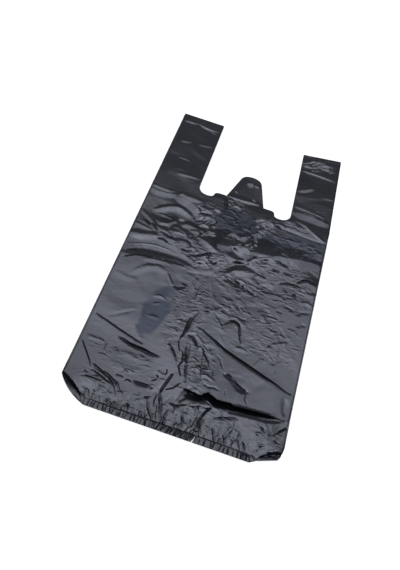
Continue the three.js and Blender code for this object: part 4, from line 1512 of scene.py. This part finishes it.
def film_points(outline: np.ndarray, spacing: float, random: np.random.Generator) -> np.ndarray:
    """Points spread evenly inside an outline, on a jittered triangular grid.

    Args:
        outline: The outline's points.
        spacing: The distance between points in mm.
        random: The source of the jitter.

    Returns:
        The points as rows of x and y, without the outline's own.
    """
    jitter, clear = 0.12, 0.55
    low, high = outline.min(axis=0), outline.max(axis=0)
    rows = np.arange(low[1], high[1], spacing * math.sqrt(3) / 2)
    columns = np.arange(low[0], high[0] + spacing, spacing)
    x, y = np.meshgrid(columns, rows)
    x = x + (np.arange(len(rows)) % 2)[:, None] * spacing / 2
    x, y = x.ravel(), y.ravel()
    x = x + random.uniform(-jitter, jitter, x.size) * spacing
    y = y + random.uniform(-jitter, jitter, y.size) * spacing
    kept = inside(outline, x, y)
    x, y = x[kept], y[kept]
    kept = distance_to(outline, x, y) > clear * spacing
    return np.column_stack([x[kept], y[kept]])


def film_triangles(outline: np.ndarray, points: np.ndarray) -> tuple[np.ndarray, np.ndarray]:
    """Triangles that fill an outline.

    Args:
        outline: The outline's points in order.
        points: The points inside it.

    Returns:
        The places as rows of x and y, the outline's first, and the triangles as rows of counters.
    """
    places = np.vstack([outline, points])
    count = len(outline)
    edges = [(i, (i + 1) % count) for i in range(count)]
    found = delaunay_2d_cdt([Vector(p) for p in places], edges, [], 1, TINY)
    origin = np.array([ids[0] if ids else -1 for ids in found[3]])
    triangles = origin[np.array([t for t in found[2] if len(t) == 3])]
    return places, triangles[(triangles >= 0).all(axis=1)]


@dataclass
class Skin:
    """One side of a sheet of film: its places in mm, and its triangles, which face up."""

    places: np.ndarray
    triangles: np.ndarray


def film_object(name: str, upper: Skin, lower: Skin, rim: int) -> bpy.types.Object:
    """A closed sheet of film as a mesh object.

    Args:
        name: The object's name.
        upper: Its upper side.
        lower: Its lower side, with the same outline.
        rim: How many of each side's first places are the outline.

    Returns:
        The object, linked to the scene.
    """
    count = len(upper.places)
    faces = upper.triangles.tolist() + (lower.triangles[:, ::-1] + count).tolist()
    forward = bool((np.roll(upper.triangles, -1, axis=1) - upper.triangles == 1).any())
    for i in range(rim):
        j = (i + 1) % rim
        faces.append((j, i, i + count, j + count) if forward else (i, j, j + count, i + count))
    mesh = bpy.data.meshes.new(name)
    points = np.vstack([upper.places, lower.places]) * MM
    mesh.from_pydata(points.tolist(), [], faces)
    mesh.polygons.foreach_set("use_smooth", [True] * len(faces))
    mesh.set_sharp_from_angle(angle=SHARP_ANGLE)
    mesh.update()
    piece = bpy.data.objects.new(name, mesh)
    bpy.context.collection.objects.link(piece)
    return piece


@dataclass
class Bag:
    """The whole bag: it builds each panel, dresses it and hangs it on the frame."""

    pattern: Pattern
    front: Front
    film: float = 0.1
    front_step: float = 1.6
    inside_spacing: float = 5.0
    ply_step: float = 2.5
    ply_spacing: float = 3.4

    def build(self, finish: FilmFinish) -> None:
        """Makes all the panels.

        Args:
            finish: The finish of the film.
        """
        random = np.random.default_rng(SEED + 1)
        material = finish.material("black_film")
        self.hang(self.front_panel(random), material)
        self.hang(self.flat_ply("back_panel", self.pattern.panel(False), Ply.BACK, random), material)
        for side, word in ((-1, "left"), (1, "right")):
            for ply, front in ((Ply.LOWER_GUSSET, False), (Ply.UPPER_GUSSET, True)):
                loop = self.pattern.gusset_ply(side, front)
                name = f"{word}_{ply.name.lower()}"
                self.hang(self.flat_ply(name, loop, ply, random), material)

    def front_panel(self, random: np.random.Generator) -> bpy.types.Object:
        """The front panel, with every crease on its upper side.

        Args:
            random: The source of the mesh's jitter.

        Returns:
            The panel, with its material's masks, painted shade among them, as attributes.
        """
        outline = divided(self.pattern.panel(True), self.front_step)
        flat, triangles = film_triangles(outline, self.front.mesh_points(random))
        upper = Skin(np.column_stack(self.front.place(*flat.T)), triangles)
        masks = self.front.masks(*flat.T)
        flat, triangles = film_triangles(outline, film_points(outline, self.inside_spacing, random))
        places = np.column_stack(self.front.place_inside(*flat.T))
        places[: len(outline)] = upper.places[: len(outline)] - (0, 0, self.film)
        panel = film_object("front_panel", upper, Skin(places, triangles), len(outline))
        self.mark(panel, masks)
        return panel

    def flat_ply(
        self, name: str, loop: list[Point], ply: Ply, random: np.random.Generator
    ) -> bpy.types.Object:
        """One of the plies under the front panel.

        Args:
            name: Its name.
            loop: The corners of its outline.
            ply: Which ply it is.
            random: The source of the mesh's jitter.

        Returns:
            The ply.
        """
        outline = divided(loop, self.ply_step)
        flat, triangles = film_triangles(outline, film_points(outline, self.ply_spacing, random))
        level = self.front.stack.level(self.pattern, *flat.T, ply)
        level = level + self.front.corner_lift(*flat.T, ply is Ply.UPPER_GUSSET)
        places = np.column_stack([flat, level])
        lower = Skin(places - (0, 0, self.film), triangles)
        piece = film_object(name, Skin(places, triangles), lower, len(outline))
        self.mark(piece, self.front.masks(*flat.T))
        return piece

    def mark(self, piece: bpy.types.Object, masks: dict[str, np.ndarray]) -> None:
        """Stores the material's masks, painted shade among them, on a ply as attributes.

        Args:
            piece: The ply.
            masks: The masks at each place of its upper side. Its under side gets none.
        """
        for name, mask in masks.items():
            layer = piece.data.attributes.new(name, "FLOAT", "POINT")
            values = np.zeros(len(piece.data.vertices), np.float32)
            values[: len(mask)] = mask
            layer.data.foreach_set("value", values)

    def hang(self, piece: bpy.types.Object, material: bpy.types.Material) -> None:
        """Dresses a panel and lets it stand for the frame's node.

        Args:
            piece: The panel.
            material: Its finish.
        """
        piece.data.materials.append(material)
        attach(piece, "root")
        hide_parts(NODE)
        LOG.info("%s: %d faces", piece.name, len(piece.data.polygons))


# Finishes

def math_node(
    tree: bpy.types.NodeTree,
    operation: str,
    first: bpy.types.NodeSocket,
    second: bpy.types.NodeSocket | float = 0.0,
) -> bpy.types.NodeSocket:
    """Adds a math node.

    Args:
        tree: The node tree.
        operation: What the node does.
        first: Its first value.
        second: Its second value.

    Returns:
        The socket that carries the result.
    """
    node = tree.nodes.new("ShaderNodeMath")
    node.operation = operation
    tree.links.new(first, node.inputs[0])
    if isinstance(second, float):
        node.inputs[1].default_value = second
    else:
        tree.links.new(second, node.inputs[1])
    return node.outputs[0]


def range_node(
    tree: bpy.types.NodeTree,
    value: bpy.types.NodeSocket,
    source: Point,
    target: Point,
    smooth: bool = False,
) -> bpy.types.NodeSocket:
    """Adds a node that maps one range of values onto another.

    Args:
        tree: The node tree.
        value: What is mapped.
        source: The range that it comes from.
        target: The range that it goes to.
        smooth: Whether it eases in and out.

    Returns:
        The socket that carries the result.
    """
    node = tree.nodes.new("ShaderNodeMapRange")
    if smooth:
        node.interpolation_type = "SMOOTHSTEP"
    names = ("From Min", "From Max", "To Min", "To Max")
    for name, number in zip(names, (*source, *target)):
        node.inputs[name].default_value = number
    tree.links.new(value, node.inputs["Value"])
    return node.outputs["Result"]


def mask_node(tree: bpy.types.NodeTree, name: str) -> bpy.types.NodeSocket:
    """Adds a node that reads one of a ply's masks.

    Args:
        tree: The node tree.
        name: The mask's name.

    Returns:
        The socket that carries the mask.
    """
    node = tree.nodes.new("ShaderNodeAttribute")
    node.attribute_name = name
    return node.outputs["Fac"]


@dataclass(frozen=True)
class FilmFinish:
    """Thin black film: glossy, slightly hazy, with fine wrinkles, a painted sky-blue tint in its
    reflection and painted shade from two masks.
    """

    colour: tuple[float, float, float] = (0.0024, 0.0028, 0.0038)
    # the film's reflection tint: its level is the film's own gloss, its blue cast is a painted reflection
    # of the sky
    painted_sky_tint: tuple[float, float, float] = (0.84, 0.86, 1.0)
    # painted shade: the darker, bluer tint of the reflection where the blue shade mask is full
    blue_shade_tint: tuple[float, float, float] = (0.46, 0.52, 0.70)
    roughness: float = 0.19
    index: float = 1.5
    gloss: float = 1.0
    # painted shade: the specular level where the dark shade mask is full
    dark_shade_gloss: float = 0.06
    pitch: float = 170.0
    stretch: tuple[float, float, float] = (0.45, 1.0, 1.0)
    detail: float = 2.0
    distortion: float = 0.6
    wrinkle_depth: float = 0.0011
    calm: float = 0.12

    def material(self, name: str) -> bpy.types.Material:
        """The film as a material.

        Args:
            name: The material's name.

        Returns:
            The material.
        """
        material = bpy.data.materials.new(name)
        material.use_nodes = True
        tree = material.node_tree
        nodes, links = tree.nodes, tree.links
        shader = nodes["Principled BSDF"]
        shader.inputs["Base Color"].default_value = (*self.colour, 1)
        shader.inputs["Roughness"].default_value = self.roughness
        shader.inputs["IOR"].default_value = self.index
        # painted shade: the reflection's tint goes from the painted sky tint to the darker shade tint
        # under the blue shade mask
        tint = nodes.new("ShaderNodeMix")
        tint.data_type = "RGBA"
        tint.inputs["A"].default_value = (*self.painted_sky_tint, 1)
        tint.inputs["B"].default_value = (*self.blue_shade_tint, 1)
        links.new(mask_node(tree, Tone.PAINTED_BLUE_SHADE.value), tint.inputs["Factor"])
        links.new(tint.outputs["Result"], shader.inputs["Specular Tint"])
        # painted shade: the specular level drops under the dark shade mask
        painted_dark_shade = mask_node(tree, Tone.PAINTED_DARK_SHADE.value)
        gloss = range_node(tree, painted_dark_shade, (0, 1), (self.gloss, self.dark_shade_gloss))
        links.new(gloss, shader.inputs["Specular IOR Level"])
        links.new(self.wrinkles(tree), shader.inputs["Normal"])
        return material

    def wrinkles(self, tree: bpy.types.NodeTree) -> bpy.types.NodeSocket:
        """The fine wrinkles, which are weaker where the film lies smooth.

        Args:
            tree: The material's node tree.

        Returns:
            The socket that carries the wrinkled normal.
        """
        place = tree.nodes.new("ShaderNodeTexCoord")
        group = tree.nodes.new("ShaderNodeGroup")
        group.node_tree = self.wrinkle_group()
        group.inputs["Pitch"].default_value = self.pitch
        tree.links.new(place.outputs["Object"], group.inputs["Position"])
        share = range_node(tree, mask_node(tree, "creased"), (0, 1), (self.calm, 1))
        bump = tree.nodes.new("ShaderNodeBump")
        bump.inputs["Strength"].default_value = 1.0
        bump.inputs["Distance"].default_value = self.wrinkle_depth
        height = math_node(tree, "MULTIPLY", group.outputs["Height"], share)
        tree.links.new(height, bump.inputs["Height"])
        return bump.outputs["Normal"]

    def wrinkle_group(self) -> bpy.types.NodeTree:
        """The shader node group for the fine wrinkles of film, which puts out a height.

        Returns:
            The group.
        """
        tree = bpy.data.node_groups.new("film_wrinkles", "ShaderNodeTree")
        faces = tree.interface
        faces.new_socket("Position", in_out="INPUT", socket_type="NodeSocketVector")
        faces.new_socket("Pitch", in_out="INPUT", socket_type="NodeSocketFloat")
        faces.new_socket("Height", in_out="OUTPUT", socket_type="NodeSocketFloat")
        nodes, links = tree.nodes, tree.links
        entry, leave = nodes.new("NodeGroupInput"), nodes.new("NodeGroupOutput")
        stretch = nodes.new("ShaderNodeVectorMath")
        stretch.operation = "MULTIPLY"
        stretch.inputs[1].default_value = self.stretch
        links.new(entry.outputs["Position"], stretch.inputs[0])
        ridges = nodes.new("ShaderNodeTexNoise")
        ridges.noise_type = "RIDGED_MULTIFRACTAL"
        ridges.inputs["Detail"].default_value = self.detail
        ridges.inputs["Distortion"].default_value = self.distortion
        links.new(stretch.outputs["Vector"], ridges.inputs["Vector"])
        links.new(entry.outputs["Pitch"], ridges.inputs["Scale"])
        links.new(ridges.outputs["Fac"], leave.inputs["Height"])
        return tree


# Studio

@dataclass(frozen=True)
class Studio:
    """A pale floor, a soft overhead light and the camera.

    The dome's stops are angles in degrees, from the far horizon over the top to the near one,
    each with its strength. It falls off to both sides.
    """

    eye: tuple[float, float, float] = (-0.0012, -0.4137, 0.6133)
    target: tuple[float, float, float] = (-0.0200, -0.0563, 0.0)
    roll: float = -16.18
    sensor: float = 36.0
    focal_share: float = 500 / 570
    clip: float = 0.01
    floor_reach: float = 6.0
    floor_colour: tuple[float, float, float] = (0.85, 0.85, 0.85)
    floor_roughness: float = 0.9
    floor_glow: float = 0.5
    wall: Point = (0.05, 0.10)
    dim: float = 0.015
    dome_colour: tuple[float, float, float] = (0.95, 0.965, 1.0)
    cloud: float = 0.4
    cloud_scale: float = 5.0
    cloud_range: Point = (0.3, 0.7)
    dome_sides: Point = (0.14, 1.0)
    side_share: float = 0.1
    dome: tuple[tuple[float, float], ...] = (
        (8.0, 0.01),
        (19.0, 0.26),
        (48.0, 0.28),
        (58.0, 1.72),
        (70.0, 1.8),
        (77.0, 2.15),
        (83.0, 3.1),
        (98.0, 3.3),
        (110.0, 0.03),
        (136.0, 0.03),
        (148.0, 0.25),
        (180.0, 0.25),
    )

    def camera(self) -> None:
        """Places the camera as the photograph was taken."""
        data = bpy.data.cameras.new("camera")
        data.sensor_fit = "VERTICAL"
        data.sensor_height = self.sensor
        data.lens = self.sensor * self.focal_share
        data.clip_start = self.clip
        camera = bpy.data.objects.new("camera", data)
        bpy.context.collection.objects.link(camera)
        towards = Vector(self.target) - Vector(self.eye)
        level = towards.to_track_quat("-Z", "Y").to_matrix().to_4x4()
        turn = Matrix.Rotation(math.radians(-self.roll), 4, "Z")
        camera.matrix_world = Matrix.Translation(self.eye) @ level @ turn
        bpy.context.scene.camera = camera

    def floor(self) -> None:
        """Lays the floor."""
        mesh = bpy.data.meshes.new("floor")
        half = self.floor_reach
        corners = [(-half, -half, 0), (half, -half, 0), (half, half, 0), (-half, half, 0)]
        mesh.from_pydata(corners, [], [(0, 1, 2, 3)])
        floor = bpy.data.objects.new("floor", mesh)
        bpy.context.collection.objects.link(floor)
        material = bpy.data.materials.new("pale_floor")
        material.use_nodes = True
        tree = material.node_tree
        shader = tree.nodes["Principled BSDF"]
        shader.inputs["Base Color"].default_value = (*self.floor_colour, 1)
        shader.inputs["Roughness"].default_value = self.floor_roughness
        shader.inputs["Specular IOR Level"].default_value = 0.0
        shader.inputs["Emission Color"].default_value = (1, 1, 1, 1)
        path = tree.nodes.new("ShaderNodeLightPath")
        seen = path.outputs["Is Camera Ray"]
        for word in ("Is Glossy Ray", "Is Transmission Ray"):
            seen = math_node(tree, "MAXIMUM", seen, path.outputs[word])
        glow = math_node(tree, "MULTIPLY", seen, self.floor_glow)
        tree.links.new(glow, shader.inputs["Emission Strength"])
        mesh.materials.append(material)
        floor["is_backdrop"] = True

    def light(self) -> None:
        """Lights the scene with a soft dome, and shows the camera a white backdrop instead."""
        world = bpy.data.worlds.new("studio_dome")
        bpy.context.scene.world = world
        world.use_nodes = True
        tree = world.node_tree
        place = tree.nodes.new("ShaderNodeTexCoord").outputs["Generated"]
        parts = tree.nodes.new("ShaderNodeSeparateXYZ")
        tree.links.new(place, parts.inputs[0])
        level = self.dome_strength(tree, parts)
        level = math_node(tree, "MULTIPLY", level, self.clouds(tree, place))
        dome = tree.nodes["Background"]
        dome.inputs["Color"].default_value = (*self.dome_colour, 1)
        total = math_node(tree, "ADD", level, self.dim)
        tree.links.new(total, dome.inputs["Strength"])
        backdrop = tree.nodes.new("ShaderNodeBackground")
        backdrop.inputs["Color"].default_value = (1, 1, 1, 1)
        mix = tree.nodes.new("ShaderNodeMixShader")
        tree.links.new(self.backdrop_share(tree, parts.outputs["Z"]), mix.inputs["Fac"])
        tree.links.new(dome.outputs["Background"], mix.inputs[1])
        tree.links.new(backdrop.outputs["Background"], mix.inputs[2])
        tree.links.new(mix.outputs["Shader"], tree.nodes["World Output"].inputs["Surface"])

    def dome_strength(
        self, tree: bpy.types.NodeTree, parts: bpy.types.Node
    ) -> bpy.types.NodeSocket:
        """How bright the dome is in each direction, without its clouds.

        Args:
            tree: The world's node tree.
            parts: The node that splits a direction into its parts.

        Returns:
            The socket that carries the strength.
        """
        height = math_node(tree, "ARCTAN2", parts.outputs["Z"], parts.outputs["Y"])
        ramp = tree.nodes.new("ShaderNodeValToRGB")
        ramp.color_ramp.interpolation = "EASE"
        stops = ramp.color_ramp.elements
        while len(stops) < len(self.dome):
            stops.new(1.0)
        brightest = max(level for _, level in self.dome)
        for stop, (angle, level) in zip(stops, self.dome):
            stop.position = angle / 180
            stop.color = (level / brightest,) * 3 + (1,)
        tree.links.new(math_node(tree, "DIVIDE", height, math.pi), ramp.inputs["Fac"])
        side = math_node(tree, "ABSOLUTE", parts.outputs["X"])
        levels = (brightest, brightest * self.side_share)
        spread = range_node(tree, side, self.dome_sides, levels, smooth=True)
        return math_node(tree, "MULTIPLY", ramp.outputs["Color"], spread)

    def clouds(self, tree: bpy.types.NodeTree, place: bpy.types.NodeSocket) -> bpy.types.NodeSocket:
        """Soft patches that make the dome a little brighter or darker.

        Args:
            tree: The world's node tree.
            place: The socket that carries the direction.

        Returns:
            The socket that carries the share of the dome's strength.
        """
        noise = tree.nodes.new("ShaderNodeTexNoise")
        noise.inputs["Scale"].default_value = self.cloud_scale
        noise.inputs["Detail"].default_value = 1
        tree.links.new(place, noise.inputs["Vector"])
        shares = (1 - self.cloud, 1 + self.cloud)
        return range_node(tree, noise.outputs["Fac"], self.cloud_range, shares)

    def backdrop_share(
        self, tree: bpy.types.NodeTree, rise: bpy.types.NodeSocket
    ) -> bpy.types.NodeSocket:
        """How much of a ray sees the white backdrop in place of the dome.

        The camera sees the backdrop all round, through clear things too. Gloss sees it as
        far up as a low white wall behind the floor, and the dome above that.

        Args:
            tree: The world's node tree.
            rise: How steeply the ray goes up.

        Returns:
            The socket that carries the share.
        """
        path = tree.nodes.new("ShaderNodeLightPath")
        wall = range_node(tree, rise, self.wall, (1, 0))
        gloss = math_node(tree, "MULTIPLY", path.outputs["Is Glossy Ray"], wall)
        clear = path.outputs["Is Transmission Ray"]
        clear = math_node(tree, "MAXIMUM", path.outputs["Is Camera Ray"], clear)
        return math_node(tree, "MAXIMUM", clear, gloss)


def main() -> None:
    logging.basicConfig(level=logging.INFO, format="%(message)s")
    cad_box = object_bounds()
    size = [high - low for low, high in zip(*cad_box)]
    pattern = Pattern(width=size[0] / MM, length=size[1] / MM)
    bpy.context.scene.view_settings.view_transform = "Standard"
    studio = Studio()
    studio.camera()
    Bag(pattern, Front(pattern)).build(FilmFinish())
    studio.floor()
    studio.light()


if __name__ == "__main__":
    main()
